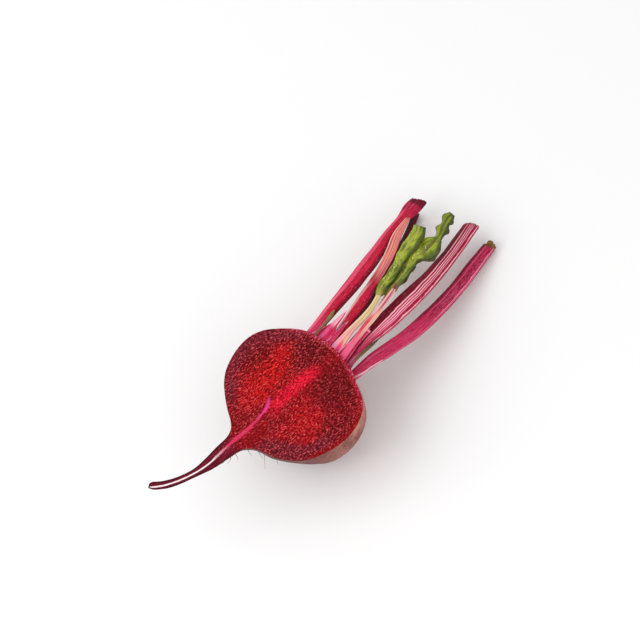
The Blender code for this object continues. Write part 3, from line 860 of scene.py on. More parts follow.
@dataclass
class BeetRoot:
    """The halved root: the wet face, the round back and the tail, as one closed piece."""

    name: str = "beet_root"
    columns: int = 300
    face_lines: int = 170
    back_lines: int = 110
    grain_depth: float = 0.22
    body_roundness: float = 1.06
    tail_joint_x: float = -38.0
    tail_blend: float = 8.0
    lump_share: float = 0.012
    undercut_share: float = 0.75
    undercut_tail_x: tuple = (-38.0, -30.0)
    undercut_crown_x: tuple = (-30.0, -8.0)
    edge_rows: Rows = (
        (-85.8, 15.6, -86.4, 12.4), (-83.5, 15.4, -84.6, 10.4), (-79.0, 11.6, -80.0, 6.8),
        (-72.0, 7.8, -73.5, 3.6), (-64.0, 5.4, -65.0, 0.8), (-56.0, 5.4, -56.5, -1.8),
        (-48.0, 6.2, -48.5, -3.0), (-41.5, 6.5, -42.0, -3.8), (-37.0, 8.2, -38.0, -5.5),
        (-34.0, 11.8, -35.0, -9.0), (-31.8, 16.5, -32.8, -14.0), (-29.5, 21.0, -30.8, -20.0),
        (-26.5, 26.0, -27.8, -25.0), (-22.5, 31.5, -24.0, -29.8), (-17.5, 36.0, -18.8, -34.0),
        (-10.5, 39.5, -11.0, -37.2), (-3.0, 41.4, -2.5, -39.0), (4.0, 41.3, 5.0, -38.8),
        (10.5, 38.6, 12.0, -36.5), (16.0, 34.0, 17.5, -33.0), (20.5, 29.3, 21.2, -28.5),
        (24.0, 24.5, 24.0, -22.0), (25.8, 20.5, 25.8, -16.2), (27.4, 15.5, 27.6, -12.0),
        (28.8, 9.5, 28.6, -6.5),
    )
    tips: tuple = ((TAIL_END_X, 14.2), (CROWN_END_X, 2.0))
    core_line: Rows = ((-16.0, 0.5), (-8.0, 2.6), (-1.0, 3.0), (8.0, 2.6), (16.0, 2.0))
    thread_line: Rows = (
        (-86.5, 14.2), (-80.6, 9.6), (-73.0, 5.8), (-65.0, 3.2), (-56.5, 1.9), (-46.4, 2.4), (-38.0, 2.4),
        (-32.0, 2.2), (-26.7, 2.4), (-21.0, 3.2), (-15.7, 4.6), (-11.4, 7.8),
    )

    def edges(self, share: np.ndarray) -> np.ndarray:
        """Left and right edge points at shares of the length, drawn to a point at both ends."""
        rows = self.curve().read(share)
        for tip, closeness in ((self.tips[0], ease(share, 0.006, 0.0)), (self.tips[1], ease(share, 0.992, 1.0))):
            both = np.array((*tip, *tip))
            rows = rows + (both - rows) * closeness[:, None] ** 2
        return rows

    def curve(self) -> RowCurve:
        """The curve through the edge rows, measured along the middle."""
        if not hasattr(self, "_curve"):
            rows = np.array(self.edge_rows)
            middle = (rows[:, :2] + rows[:, 2:]) / 2.0
            half = np.linalg.norm(rows[:, :2] - rows[:, 2:], axis=1) / 2.0
            measured = RowCurve(tuple(map(tuple, np.column_stack((middle, half)))))
            self._curve = RowCurve(self.edge_rows)
            self._curve.turns, self._curve.reach = measured.turns, measured.reach
            self._curve.length = measured.length
        return self._curve

    def face_place(self, along: np.ndarray, across: np.ndarray) -> np.ndarray:
        """Places the points of the cut face, level and full of fine grains."""
        rows = self.edges(along)
        flat = rows[:, :2] + (rows[:, 2:] - rows[:, :2]) * across[:, None]
        points = np.column_stack((flat, np.full(len(flat), FACE_HEIGHT)))
        inner = ease(np.minimum(across, 1.0 - across), 0.0, 0.02) * ease(np.minimum(along, 1.0 - along), 0.0, 0.01)
        bent = points + 1.2 * np.column_stack((lumps(points, 9.0, 5), lumps(points, 9.0, 6), np.zeros(len(points))))
        grains = lumps(bent * (1.0, 0.6, 1.0), 0.8, 2) * 0.6 + lumps(bent, 2.2, 3) * 0.4
        points[:, 2] -= self.grain_depth * (0.55 + 0.45 * grains) * inner
        return points

    def back_place(self, along: np.ndarray, across: np.ndarray) -> np.ndarray:
        """Places the points of the round back, from the left edge under the root to the right edge."""
        rows = self.edges(along)
        left = np.column_stack((rows[:, :2], np.full(len(rows), FACE_HEIGHT)))
        right = np.column_stack((rows[:, 2:], np.full(len(rows), FACE_HEIGHT)))
        middle, reach = (left + right) / 2.0, (left - right) / 2.0
        turn = math.pi * across
        blend = self.tail_blend / 2.0
        joint = ease(middle[:, 0], self.tail_joint_x - blend, self.tail_joint_x + blend)
        depth = np.linalg.norm(reach, axis=1) * (1.0 + (self.body_roundness - 1.0) * joint)
        waves = np.sin(0.11 * middle[:, 0] + 2.3 * turn) + 0.6 * np.sin(0.21 * middle[:, 0] - 4.1 * turn + 1.0)
        lump = 1.0 + self.lump_share * waves * np.sin(turn)
        points = middle + reach * (self.side_width(middle[:, 0], turn) * lump)[:, None]
        points -= UP * (depth * np.sin(turn) * lump)[:, None]
        return self.roughened(points, middle, turn)

    def side_width(self, station: np.ndarray, turn: np.ndarray) -> np.ndarray:
        """How far out each point lies, as a share of the half width: drawn in under the right side's tail end.

        Args:
            station: How far along the root each point lies.
            turn: Each point's angle, from the left edge under the root to the right edge.

        Returns:
            One share from 1 at the left edge to -1 at the right edge.
        """
        width, rise = np.cos(turn), np.sin(turn)
        drawn_in = self.undercut_share * ease(station, *self.undercut_tail_x)
        drawn_in = drawn_in * (1.0 - ease(station, *self.undercut_crown_x))
        return np.where(width < 0.0, width * (1.0 - drawn_in * rise * (1.0 - rise * rise)), width)

    def roughened(self, points: np.ndarray, middle: np.ndarray, turn: np.ndarray) -> np.ndarray:
        """Adds growth rings, pits and corky ends to the back, never past the solid's own surface."""
        inward = middle - points
        inward /= np.maximum(np.linalg.norm(inward, axis=1), 1e-6)[:, None]
        away = np.sin(turn) ** 0.5
        ringed = points * (1.0, 0.12, 0.12)
        depth = 0.16 * (1.0 + lumps(ringed, 1.6, 11)) + 0.10 * (1.0 + lumps(points, 5.0, 12))
        cork = ease(points[:, 0], 19.0, 26.0) + ease(points[:, 0], -30.0, -44.0) * 0.5
        depth += cork * 0.3 * (1.0 + lumps(ringed, 0.9, 13))
        points = points + inward * (depth * away)[:, None]
        points[:, 2] = np.maximum(points[:, 2], 0.0)
        return points

    def dress(self, piece: bpy.types.Object) -> None:
        """Keeps the distances that the finishes read, in millimetres, on every point."""
        points = read_points(piece)[:, :2] / MM - SHIFT[:2]
        rows = self.edges(np.linspace(0.0, 1.0, 260))
        outline = np.concatenate((rows[:, :2], rows[::-1, 2:]))
        write_numbers(piece, "rim_mm", distance_to_line(points, outline))
        for name, rows in (("core_mm", self.core_line), ("thread_mm", self.thread_line)):
            line = RowCurve(tuple((*row, 0.0) for row in rows)).read(np.linspace(0.0, 1.0, 90))[:, :2]
            write_numbers(piece, name, distance_to_line(points, line))
        write_numbers(piece, "station_mm", points[:, 0])
        write_numbers(piece, "side_mm", points[:, 1])

    def build(self) -> None:
        """Builds the face and the back, joins them at the rim and hands the piece over."""
        face = grid_piece("beet_face", self.columns, self.face_lines, self.face_place)
        face.data.materials.append(FleshFinish().build())
        back = grid_piece(self.name, self.columns, self.back_lines, self.back_place)
        back.data.materials.append(SkinFinish().build())
        take_up(back)
        face.select_set(True)
        bpy.ops.object.join()
        close_up(back, 2e-6)
        self.dress(back)
        hand_over(back, "beet_skin", "root_half")


class Section(Enum):
    """The shapes that a stem's section takes."""

    ROUND = "round"
    CHANNELLED = "channelled"
    SLICED = "sliced"


@dataclass
class Stem:
    """A stem or a small part of the crown, swept along its middle line."""

    name: str
    node: str
    slot: str
    rows: Rows
    section: Section
    finish: StemFinish | PlainPartFinish | None
    end: CutEndFinish | None = None
    columns: int = 190
    sides: int = 112
    foot: float = 4.0
    ribs: int = 5
    rib_share: float = 0.05
    wobble: float = 0.12
    slant: float = 0.35
    slant_start: float = 0.94
    ragged: float = 0.35
    ragged_start: float = 0.965
    channel_depth: float = 0.22
    channel_degrees: float = 42.0
    slice_depth: float = 0.75
    slice_run: tuple[float, float] = (0.38, 0.6)
    rim_steps: tuple = ((0.86, 0.05), (0.72, -0.45), (0.3, -0.25))
    seed: int = 20

    def rooted(self) -> Rows:
        """The rows with one more inside the crown."""
        first, second = np.array(self.rows[0][:3]), np.array(self.rows[1][:3])
        ahead = (second - first) / np.linalg.norm(second - first)
        return ((*(first - ahead * self.foot), *self.rows[0][3:]), *self.rows)

    def size(self, turn: np.ndarray, along: np.ndarray) -> np.ndarray:
        """The section's size at each turn, as a share of the stem's radius."""
        if self.section is Section.CHANNELLED:
            from_top = (turn - math.pi / 2.0) / math.radians(self.channel_degrees)
            return 1.0 - self.channel_depth * np.exp(-(from_top**2))
        if self.section is Section.SLICED:
            level = 1.0 - self.slice_depth * ease(along, *self.slice_run)
            return np.minimum(1.0, level / np.maximum(np.sin(turn), level))
        return np.ones_like(turn)

    def place(self, along: np.ndarray, across: np.ndarray) -> np.ndarray:
        """Places the points of the stem's skin, open at its cut end."""
        curve = RowCurve(self.rooted())
        row = curve.read(along)
        step = 0.5 / self.columns
        ahead = curve.read(np.minimum(along + step, 1.0))[:, :3] - curve.read(np.maximum(along - step, 0.0))[:, :3]
        ahead /= np.linalg.norm(ahead, axis=1)[:, None]
        side = np.cross(ahead, UP)
        side /= np.linalg.norm(side, axis=1)[:, None]
        above = np.cross(side, ahead)
        turn = 2.0 * math.pi * across
        around = np.column_stack((np.cos(turn) * 3.0, np.sin(turn) * 3.0, along * curve.length * 0.16))
        size = self.size(turn, along) - self.wobble * 0.5 * (0.5 + 0.5 * lumps(around, 1.4, self.seed))
        size += self.rib_share * 0.4 * (np.cos(self.ribs * 4.0 * turn) - 1.0)
        station, seen = self.stations(curve, along), across - (across > SEAM)
        for band in getattr(self.finish, "bands", ()):
            if band.rise:
                size += band.lift(station, seen) / np.sqrt(row[:, 3] * row[:, 4])
        slant = row[:, 3] * self.slant * np.cos(turn) * ease(along, self.slant_start, 1.0)
        tear = self.ragged * ease(along, self.ragged_start, 1.0) * (lumps(around * 1.7, 1.0, self.seed + 1) - 1.0)
        points = row[:, :3] + side * (row[:, 3] * size * np.cos(turn))[:, None]
        points += above * (row[:, 4] * size * np.sin(turn))[:, None]
        return points + ahead * (slant + tear)[:, None]

    def stations(self, curve: RowCurve, along: np.ndarray) -> np.ndarray:
        """The row number at each share of the length, with the row inside the crown as -1."""
        return np.interp(along * curve.length, curve.reach, curve.turns) - 1.0

    def dress(self, piece: bpy.types.Object) -> None:
        """Keeps the row number and the place across the stem on every point, for the finish."""
        along, across = read_numbers(piece, "along"), read_numbers(piece, "across")
        write_numbers(piece, "row", self.stations(RowCurve(self.rooted()), along))
        turn = 2.0 * math.pi * across
        write_numbers(piece, "aside", self.size(turn, along) * np.cos(turn))

    def close_end(self, piece: bpy.types.Object) -> None:
        """Closes both ends: the foot to a point, and the cut end with a rim and a hollow of pith."""
        self.fill_end(piece, False)
        self.fill_end(piece, True, self.rim_steps, 1 if self.end else 0)

    def fill_end(self, piece: bpy.types.Object, far: bool, steps: tuple = (), material: int = 0) -> None:
        """Closes one open end.

        Args:
            piece: The stem.
            far: Whether it is the cut end instead of the foot.
            steps: Rings inside the rim, each a size beside the last ring and a move outwards in millimetres.
            material: The slot that the new faces wear.
        """
        along = read_numbers(piece, "along")
        chosen = along > 1.0 - END_SHARE if far else along < END_SHARE
        rim = read_points(piece)[chosen]
        centre = Vector(rim.mean(axis=0))
        curve = RowCurve(self.rooted())
        out = Vector(curve.read(np.array([1.0]))[0, :3] - curve.read(np.array([0.98]))[0, :3]).normalized()
        before = len(piece.data.polygons)
        select_points(piece, chosen)
        for size, move in steps:
            bpy.ops.mesh.extrude_edges_move()
            bpy.ops.transform.resize(value=(size, size, size), center_override=centre)
            bpy.ops.transform.translate(value=out * move * MM)
        bpy.ops.mesh.extrude_edges_move()
        bpy.ops.mesh.merge(type="CENTER")
        bpy.ops.object.mode_set(mode="OBJECT")
        for face in list(piece.data.polygons)[before:]:
            face.material_index = material

    def build(self) -> None:
        """Builds the stem and hands it over."""
        piece = grid_piece(self.name, self.columns, self.sides, self.place)
        piece.data.materials.append(self.finish.build())
        if self.end:
            piece.data.materials.append(self.end.build())
        self.dress(piece)
        close_up(piece)
        self.close_end(piece)
        close_up(piece, 1e-7)
        hand_over(piece, self.slot, *((self.node,) if self.node else ()))


@dataclass
class Leaf:
    """A young leaf: a blade on its stalk, as two pieces that meet under the blade's foot."""

    name: str
    node: str
    stalk: Stem
    rows: Rows
    finish: LeafFinish
    columns: int = 150
    lines: int = 44
    wall: float = 0.45
    curl_start: float = 105.0
    curl_end: float = 105.0
    wave: float = 0.75
    waves: float = 6.0
    pucker: float = 0.55
    pucker_size: float = 3.6
    lobe: float = 0.06
    rib_share: float = 0.1
    rib_depth: float = 0.18
    seed: int = 40

    def place(self, along: np.ndarray, across: np.ndarray) -> np.ndarray:
        """Places the points of the blade's middle surface."""
        curve = RowCurve(self.rows)
        row = curve.read(along)
        left, right = row[:, 0:3], row[:, 3:6]
        middle, half = (left + right) / 2.0, (right - left) / 2.0
        width = np.linalg.norm(half, axis=1)
        side = across * 2.0 - 1.0
        curl = np.radians(self.curl_start + (self.curl_end - self.curl_start) * ease(along, 0.25, 0.6))
        turn = side * curl
        spread = np.sin(turn) / np.maximum(np.sin(np.minimum(curl, math.pi / 2.0)), 0.3)
        rise = (np.cos(turn) - np.cos(curl)) / (1.0 - np.cos(curl)) * row[:, 6] * 1.25
        margin = np.abs(side) ** 2
        notch = 1.0 + self.lobe * margin * lumps(np.column_stack((along * 60.0, side, side)), 1.3, self.seed)
        points = middle + half * (spread * notch)[:, None]
        beat = np.sin(2.0 * math.pi * self.waves * along + side * 1.5)
        rise = rise + self.wave * margin * beat * np.minimum(width / 3.0, 1.0)
        rise += self.pucker * lumps(points, self.pucker_size, self.seed + 1) * (0.4 + 0.6 * margin)
        rib = np.exp(-((side / self.rib_share) ** 2))
        return points + UP * (rise - self.rib_depth * rib)[:, None]

    def build(self) -> None:
        """Builds the blade and its stalk and hands both over."""
        piece = grid_piece(self.name, self.columns, self.lines, self.place)
        piece.data.materials.append(self.finish.build())
        close_up(piece)
        wall = piece.modifiers.new("wall", "SOLIDIFY")
        wall.thickness = self.wall * MM
        wall.offset = 0.0
        take_up(piece)
        bpy.ops.object.modifier_apply(modifier=wall.name)
        close_up(piece, 1e-7)
        hand_over(piece, "young_leaf", self.node)
        self.stalk.build()


@dataclass
class Rootlets:
    """Fine rootlets, as thin tubes that grow from the skin near the tail and along it."""

    name: str = "rootlets"
    slot: str = "beet_skin"
    count: int = 15
    sides: int = 5
    steps: int = 9
    seed: int = 7
    thick: float = 0.13
    starts: Rows = (
        (-30.0, -19.5, 38.5), (-31.5, -16.5, 39.0), (-33.0, -13.0, 38.8), (-34.2, -10.4, 39.4),
        (-37.5, -6.0, 39.8), (-43.5, -3.6, 40.2), (-46.5, -3.0, 40.6),
    )

    def paths(self) -> list[np.ndarray]:
        """The middle line of each rootlet, in millimetres: placed ones first, then seeded ones on the tail."""
        draw = np.random.default_rng(self.seed)
        lines = []
        for index in range(self.count):
            if index < len(self.starts):
                start = np.array(self.starts[index])
                heading = np.array((-0.35, -0.85, -0.15)) + draw.normal(0.0, 0.3, 3)
                length = draw.uniform(1.6, 3.0)
            else:
                x = draw.uniform(-80.0, -33.0)
                bend = np.interp(x, (-80.0, -72.0, -64.0, -33.0), (9.4, 5.6, 3.1, 1.5))
                angle = draw.uniform(-0.9, 0.9)
                radius = np.interp(x, (-80.0, -60.0, -42.0, -33.0), (2.2, 3.0, 4.6, 8.5))
                start = np.array((x, bend + radius * math.sin(angle), FACE_HEIGHT - radius * math.cos(angle)))
                heading = np.array((-0.5, math.sin(angle), -math.cos(angle))) + draw.normal(0.0, 0.25, 3)
                length = draw.uniform(0.8, 2.0)
            curl = draw.normal(0.0, 0.9, 3)
            share = np.linspace(0.0, 1.0, self.steps)[:, None]
            line = start + heading / np.linalg.norm(heading) * length * share + curl * length * 0.7 * share**2
            line[:, 2] = np.minimum(line[:, 2], FACE_HEIGHT - 0.3)
            lines.append(line)
        return lines

    def build(self) -> None:
        """Builds each rootlet as a thin closed tube, joins them and hands them over."""
        finish = PlainPartFinish("rootlet", shade(150, 96, 96), shade(96, 60, 60), shade(110, 80, 76)).build()
        made = [self.tube(index, line, finish) for index, line in enumerate(self.paths())]
        take_up(made[0])
        for other in made[1:]:
            other.select_set(True)
        bpy.ops.object.join()
        made[0].name = made[0].data.name = self.name
        hand_over(made[0], self.slot)

    def tube(self, index: int, line: np.ndarray, finish: bpy.types.Material) -> bpy.types.Object:
        """Builds one rootlet, thick at its foot and thin at its tip.

        Args:
            index: Its number.
            line: Its middle line, in millimetres.
            finish: Its material.

        Returns:
            The tube.
        """
        thick = self.thick * np.linspace(1.3, 0.5, len(line))
        rows = tuple(map(tuple, np.column_stack((line, thick, thick))))
        small = {"columns": self.steps * 2, "sides": self.sides, "foot": 0.5, "wobble": 0.0, "ragged": 0.0}
        stem = Stem(f"{self.name}_{index}", "", self.slot, rows, Section.ROUND, None, **small)
        piece = grid_piece(stem.name, stem.columns, stem.sides, stem.place)
        piece.data.materials.append(finish)
        close_up(piece)
        stem.fill_end(piece, False)
        stem.fill_end(piece, True)
        close_up(piece, 1e-7)
        return piece


@dataclass
class Studio:
    """The camera at the photo's angle, soft lights and a plain pale floor."""

    above: tuple = (0.654, 0.625, 0.426)
    toward: tuple = (-0.096, -0.489, 0.867)
    face_centre_pixel: tuple = (296.0, 392.0)
    picture_pixels: float = 640.0
    pixel: float = 0.0005
    lens: float = 1500.0
    sensor: float = 36.0
    light_size: float = 0.9
    lights: tuple = (("key_light", (-0.53, 0.23, 0.69), 3.4), ("fill_light", (0.09, -0.79, 0.39), 1.6))
    sky: float = 0.76
    floor_size: float = 30.0
    floor_tone: float = 0.97

    def camera(self) -> None:
        """Sets the camera so that the middle of the cut face falls on its place in the photo."""
        data = bpy.data.cameras.new("camera")
        data.lens = self.lens
        data.sensor_width = self.sensor
        data.clip_end = 100.0
        camera = bpy.data.objects.new("camera", data)
        bpy.context.scene.collection.objects.link(camera)
        toward = Vector(self.toward).normalized()
        right = Vector(self.above).cross(toward).normalized()
        above = toward.cross(right)
        half = self.picture_pixels / 2.0
        aim = Vector((SHIFT + (0.0, 0.0, FACE_HEIGHT)) * MM)
        aim += right * (half - self.face_centre_pixel[0]) * self.pixel
        aim -= above * (half - self.face_centre_pixel[1]) * self.pixel
        distance = self.picture_pixels * self.pixel * self.lens / self.sensor
        turn = Matrix((right, above, toward)).transposed().to_4x4()
        turn.translation = aim + toward * distance
        camera.matrix_world = turn
        bpy.context.scene.camera = camera

    def light(self, name: str, place: tuple, power: float) -> None:
        """Adds one soft square light that looks at the beetroot.

        Args:
            name: The light's name.
            place: Where it stands, in metres.
            power: Its power in watts.
        """
        data = bpy.data.lights.new(name, "AREA")
        data.shape = "SQUARE"
        data.size = self.light_size
        data.energy = power
        lamp = bpy.data.objects.new(name, data)
        lamp.location = place
        lamp.rotation_euler = (Vector((0.0, 0.0, 0.02)) - Vector(place)).to_track_quat("-Z", "Y").to_euler()
        bpy.context.scene.collection.objects.link(lamp)

    def build(self) -> None:
        """Builds camera, lights, sky and floor."""
        self.camera()
        for light in self.lights:
            self.light(*light)
        world = bpy.data.worlds.new("soft_sky")
        world.use_nodes = True
        sky = world.node_tree.nodes["Background"]
        sky.inputs["Color"].default_value = (1.0, 1.0, 1.0, 1.0)
        sky.inputs["Strength"].default_value = self.sky
        bpy.context.scene.world = world
        bpy.context.scene.view_settings.view_transform = "Standard"
        deselect_all()
        bpy.ops.mesh.primitive_plane_add(size=self.floor_size, location=(0.0, 0.0, 0.0))
        floor = bpy.context.object
        floor.name = "floor"
        floor.data.materials.append(Paint("pale_floor").finish((*[self.floor_tone] * 3, 1.0), 0.8))


PALE_LINE = shade(255, 196, 206)
# The pale pink bands along the upper left flank are painted highlights. The dark lines in its grooves and notch, the
# dark band on its right flank and the near-black band below it are painted shade.
CRIMSON = StemFinish(
    "crimson_stem",
    ground=shade(194, 4, 46),
    streak=shade(212, 30, 72),
    dark=shade(148, 0, 30),
    bands=(
        Band(shade(232, 84, 118), (-1.0, 9.0), (0.325, 0.35), 0.07, 0.8, soft=0.5),
        Band(shade(246, 130, 150), (-1.0, 1.6), (0.33, 0.33), 0.04, 0.6, soft=1.0),
        Band(shade(150, 8, 48), (0.0, 9.0), (0.245, 0.25), 0.012, 0.7, rise=-0.15),
        Band(shade(118, 0, 30), (-1.0, 6.0), (0.0, 0.0), 0.1, 0.9, soft=0.25),
        Band(shade(104, 0, 24), (0.8, 4.6), (0.099, 0.1), 0.014, 0.8, rise=-0.3),
        Band(shade(176, 18, 62), (6.6, 12.0), (0.18, 0.18), 0.24, 0.8, soft=0.3),
        Band(shade(110, 2, 30), (7.4, 12.0), (0.13, 0.13), 0.02, 0.8, rise=-0.2),
        Band(shade(110, 2, 30), (7.2, 12.0), (0.29, 0.27), 0.015, 0.8, rise=-0.2),
        Band(shade(240, 110, 140), (7.0, 12.0), (0.24, 0.22), 0.012, 0.8, rise=0.2),
        Band(shade(72, 0, 16), (-1.0, 9.0), (-0.075, -0.075), 0.075, 0.9, soft=0.7),
        Band(shade(56, 4, 22), (6.4, 7.2), (0.40, 0.37), 0.03, 0.9, rise=-0.35),
    ),
    foot=shade(232, 60, 116),
    tip=shade(88, 6, 26),
    tip_start=0.95,
)
# The pale cream band along the left is partly the stem's own pale edge and partly a painted highlight. The bright
# pink band at the foot and the pale line along the slice's left edge are painted highlights, and the dark band along
# the right is painted shadow.
SALMON = StemFinish(
    "salmon_stem",
    ground=shade(200, 10, 50),
    streak=shade(214, 34, 74),
    dark=shade(140, 0, 40),
    bands=(
        Band(shade(246, 176, 176), (-1.0, 3.0), (0.36, 0.35), 0.07, 0.9, rise=0.12, soft=0.5),
        Band(shade(255, 124, 178), (-1.0, 0.6), (0.27, 0.27), 0.09, 0.85),
        Band(shade(84, 0, 24), (-1.0, 3.6), (-0.01, -0.01), 0.09, 0.9, soft=0.4),
        Band(shade(150, 10, 80), (2.0, 3.0), (0.105, 0.105), 0.045, 0.8),
        Band(shade(226, 120, 116), (3.5, 12.0), (0.0, 0.0), 1.6, 1.0, flat=True, soft=0.1, fade=0.4),
        Band(shade(190, 80, 108), (3.4, 4.5), (0.55, 0.6), 0.35, 0.75, flat=True),
        Band(shade(246, 168, 152), (3.6, 7.5), (-0.2, -0.3), 0.22, 0.75, flat=True),
        Band(shade(246, 168, 152), (3.8, 7.5), (0.25, 0.2), 0.14, 0.6, flat=True),
        Band(shade(186, 70, 78), (4.0, 7.5), (0.02, 0.0), 0.08, 0.7, flat=True),
        Band(shade(120, 40, 34), (4.8, 5.9), (-0.62, -0.55), 0.08, 0.9, flat=True, fade=0.2),
        Band(shade(250, 206, 190), (3.4, 7.5), (-0.9, -0.9), 0.16, 0.9, flat=True),
        Band(shade(240, 160, 150), (3.4, 7.5), (0.92, 0.92), 0.12, 0.7, flat=True),
    ),
    foot=shade(220, 20, 76),
    tip=shade(190, 84, 84),
    painted_glint=shade(250, 180, 160),
    painted_glint_share=0.25,
)
# This stem lies behind the others, and its very dark colours are partly its own dark wine red and partly painted
# shade.
DARK_STEM = StemFinish(
    "dark_stem",
    ground=shade(78, 8, 28),
    streak=shade(118, 24, 50),
    dark=shade(40, 2, 12),
    bands=(
        Band(shade(150, 108, 120), (3.4, 9.0), (-0.02, -0.02), 0.04, 0.6),
        Band(shade(44, 2, 12), (-1.0, 9.0), (0.3, 0.3), 0.1, 0.7),
    ),
    foot=shade(120, 14, 46),
    tip=shade(96, 50, 40),
    painted_glint=shade(170, 80, 100),
    painted_glint_share=0.2,
)
# The dark band along the left flank, the near-black band beyond it, the dark line in a groove and the darker band at
# the right edge are painted shade.
RIBBED = StemFinish(
    "ribbed_stem",
    ground=shade(170, 14, 60),
    streak=shade(200, 46, 92),
    dark=shade(132, 0, 36),
    bands=(
        Band(shade(216, 68, 110), (0.8, 3.2), (0.15, 0.15), 0.1, 0.6),
        Band(shade(152, 2, 46), (4.6, 12.0), (0.17, 0.17), 0.11, 0.75, soft=0.2),
        Band(shade(116, 0, 28), (0.6, 7.0), (0.345, 0.405), 0.13, 1.0, soft=0.12),
        Band(shade(44, 0, 12), (3.8, 12.0), (0.44, 0.44), 0.08, 0.9),
        Band(PALE_LINE, (1.7, 7.2), (0.218, 0.277), 0.012, 0.95, rise=0.3, fade=0.8),
        Band(shade(255, 196, 208), (2.3, 7.2), (0.191, 0.218), 0.010, 1.0, rise=0.16, fade=0.8),
        Band(shade(255, 196, 208), (2.1, 7.2), (0.158, 0.178), 0.010, 1.0, rise=0.16, fade=0.8),
        Band(shade(246, 160, 182), (2.4, 7.2), (0.125, 0.142), 0.011, 0.95, rise=0.14),
        Band(shade(150, 6, 44), (2.8, 7.2), (0.095, 0.105), 0.02, 0.85, rise=-0.3),
        Band(PALE_LINE, (1.0, 7.2), (0.051, 0.065), 0.011, 0.95, rise=0.3),
        Band(shade(238, 140, 164), (1.6, 4.4), (0.0, 0.005), 0.012, 0.8, rise=0.2),
        Band(shade(120, 14, 50), (-1.0, 12.0), (-0.07, -0.07), 0.045, 0.8),
    ),
    foot=shade(222, 60, 108),
    foot_row=0.2,
    tip=shade(126, 84, 60),
    tip_start=0.985,
)
MAGENTA = StemFinish(
    "magenta_stem",
    ground=shade(184, 26, 72),
    streak=shade(208, 60, 104),
    dark=shade(146, 10, 48),
    bands=(
        Band(shade(124, 12, 44), (3.6, 9.0), (0.39, 0.39), 0.08, 0.9, soft=0.3),
        Band(shade(216, 100, 140), (4.6, 8.2), (0.277, 0.277), 0.014, 0.8, rise=0.15),
        Band(shade(216, 92, 132), (4.6, 5.6), (0.18, 0.18), 0.06, 0.6),
        Band(shade(224, 104, 146), (0.5, 1.7), (0.30, 0.28), 0.03, 0.6),
        Band(shade(226, 96, 136), (-0.5, 4.0), (0.0, 0.0), 0.04, 0.7),
        Band(shade(242, 152, 182), (4.2, 8.2), (0.068, 0.068), 0.012, 0.9, rise=0.22),
        Band(shade(232, 130, 164), (4.6, 8.2), (0.027, 0.027), 0.01, 0.8, rise=0.15),
        Band(shade(104, 12, 46), (4.0, 9.0), (-0.055, -0.055), 0.05, 0.85),
        Band(shade(250, 200, 214), (0.2, 1.5), (-0.06, -0.06), 0.03, 0.9, fade=0.25),
    ),
    netting=shade(112, 12, 50),
    foot=shade(200, 30, 78),
    tip=shade(104, 70, 36),
    tip_start=0.97,
)
# The darker olive line in its groove is painted shade.
STALK = StemFinish(
    "cream_stalk",
    ground=shade(240, 214, 152),
    streak=shade(248, 226, 176),
    dark=shade(214, 176, 110),
    bands=(
        Band(shade(246, 178, 166), (1.2, 2.6), (0.2, 0.2), 0.5, 0.9, soft=0.1),
        Band(shade(240, 50, 122), (-1.0, 0.9), (0.17, 0.19), 0.09, 0.95, soft=0.6),
        Band(shade(232, 96, 130), (0.9, 2.2), (0.19, 0.2), 0.05, 0.6),
        Band(shade(250, 152, 188), (-1.0, 1.4), (0.36, 0.34), 0.09, 0.9),
        Band(shade(250, 156, 176), (-1.0, 2.0), (0.02, 0.04), 0.06, 0.9),
        Band(shade(160, 128, 56), (2.3, 6.0), (0.225, 0.225), 0.025, 0.85, rise=-0.2),
        Band(shade(136, 84, 44), (2.2, 6.0), (-0.03, -0.03), 0.06, 0.85),
        Band(shade(252, 236, 200), (1.6, 6.0), (0.37, 0.37), 0.04, 0.8),
    ),
    foot=shade(248, 120, 160),
    foot_row=0.6,
    tip=shade(170, 160, 70),
    tip_start=0.93,
    painted_glint_share=0.15,
    cloudy=0.25,
)
# The dark brown line in its groove is painted shade.
OLIVE_STALK = StemFinish(
    "olive_stalk",
    ground=shade(128, 118, 44),
    streak=shade(160, 146, 70),
    dark=shade(70, 50, 20),
    bands=(
        Band(shade(228, 70, 110), (-1.0, 1.4), (0.2, 0.2), 0.4, 0.8),
        Band(shade(246, 186, 176), (1.0, 5.0), (0.36, 0.36), 0.05, 0.8, rise=0.1),
        Band(shade(240, 160, 150), (1.0, 5.0), (0.0, 0.0), 0.04, 0.7),
        Band(shade(60, 40, 16), (1.6, 5.0), (0.17, 0.2), 0.05, 0.8, rise=-0.2),
    ),
    foot=shade(214, 40, 90),
    tip=shade(110, 120, 40),
    tip_start=0.93,
    painted_glint_share=0.15,
)
# The dark mauve line in its groove is painted shade.
TORN = StemFinish(
    "torn_face",
    ground=shade(240, 150, 150),
    streak=shade(246, 184, 166),
    dark=shade(214, 90, 110),
    bands=(
        Band(shade(240, 90, 136), (-1.0, 1.4), (0.2, 0.2), 0.5, 0.85),
        Band(shade(218, 44, 76), (1.3, 2.8), (0.31, 0.31), 0.12, 0.9, soft=0.3),
        Band(shade(243, 184, 154), (1.9, 3.7), (0.09, 0.1), 0.11, 0.9, soft=0.5),
        Band(shade(150, 56, 96), (3.4, 5.6), (0.19, 0.19), 0.09, 0.85, rise=-0.2),
        Band(shade(252, 196, 204), (3.2, 6.0), (0.33, 0.33), 0.05, 0.9),
        Band(shade(250, 206, 200), (1.4, 6.0), (0.0, 0.0), 0.05, 0.9, rise=0.1),
    ),
    foot=shade(226, 40, 96),
    tip=shade(96, 16, 52),
    tip_start=0.93,
    painted_glint_share=0.2,
    cloudy=0.2,
)
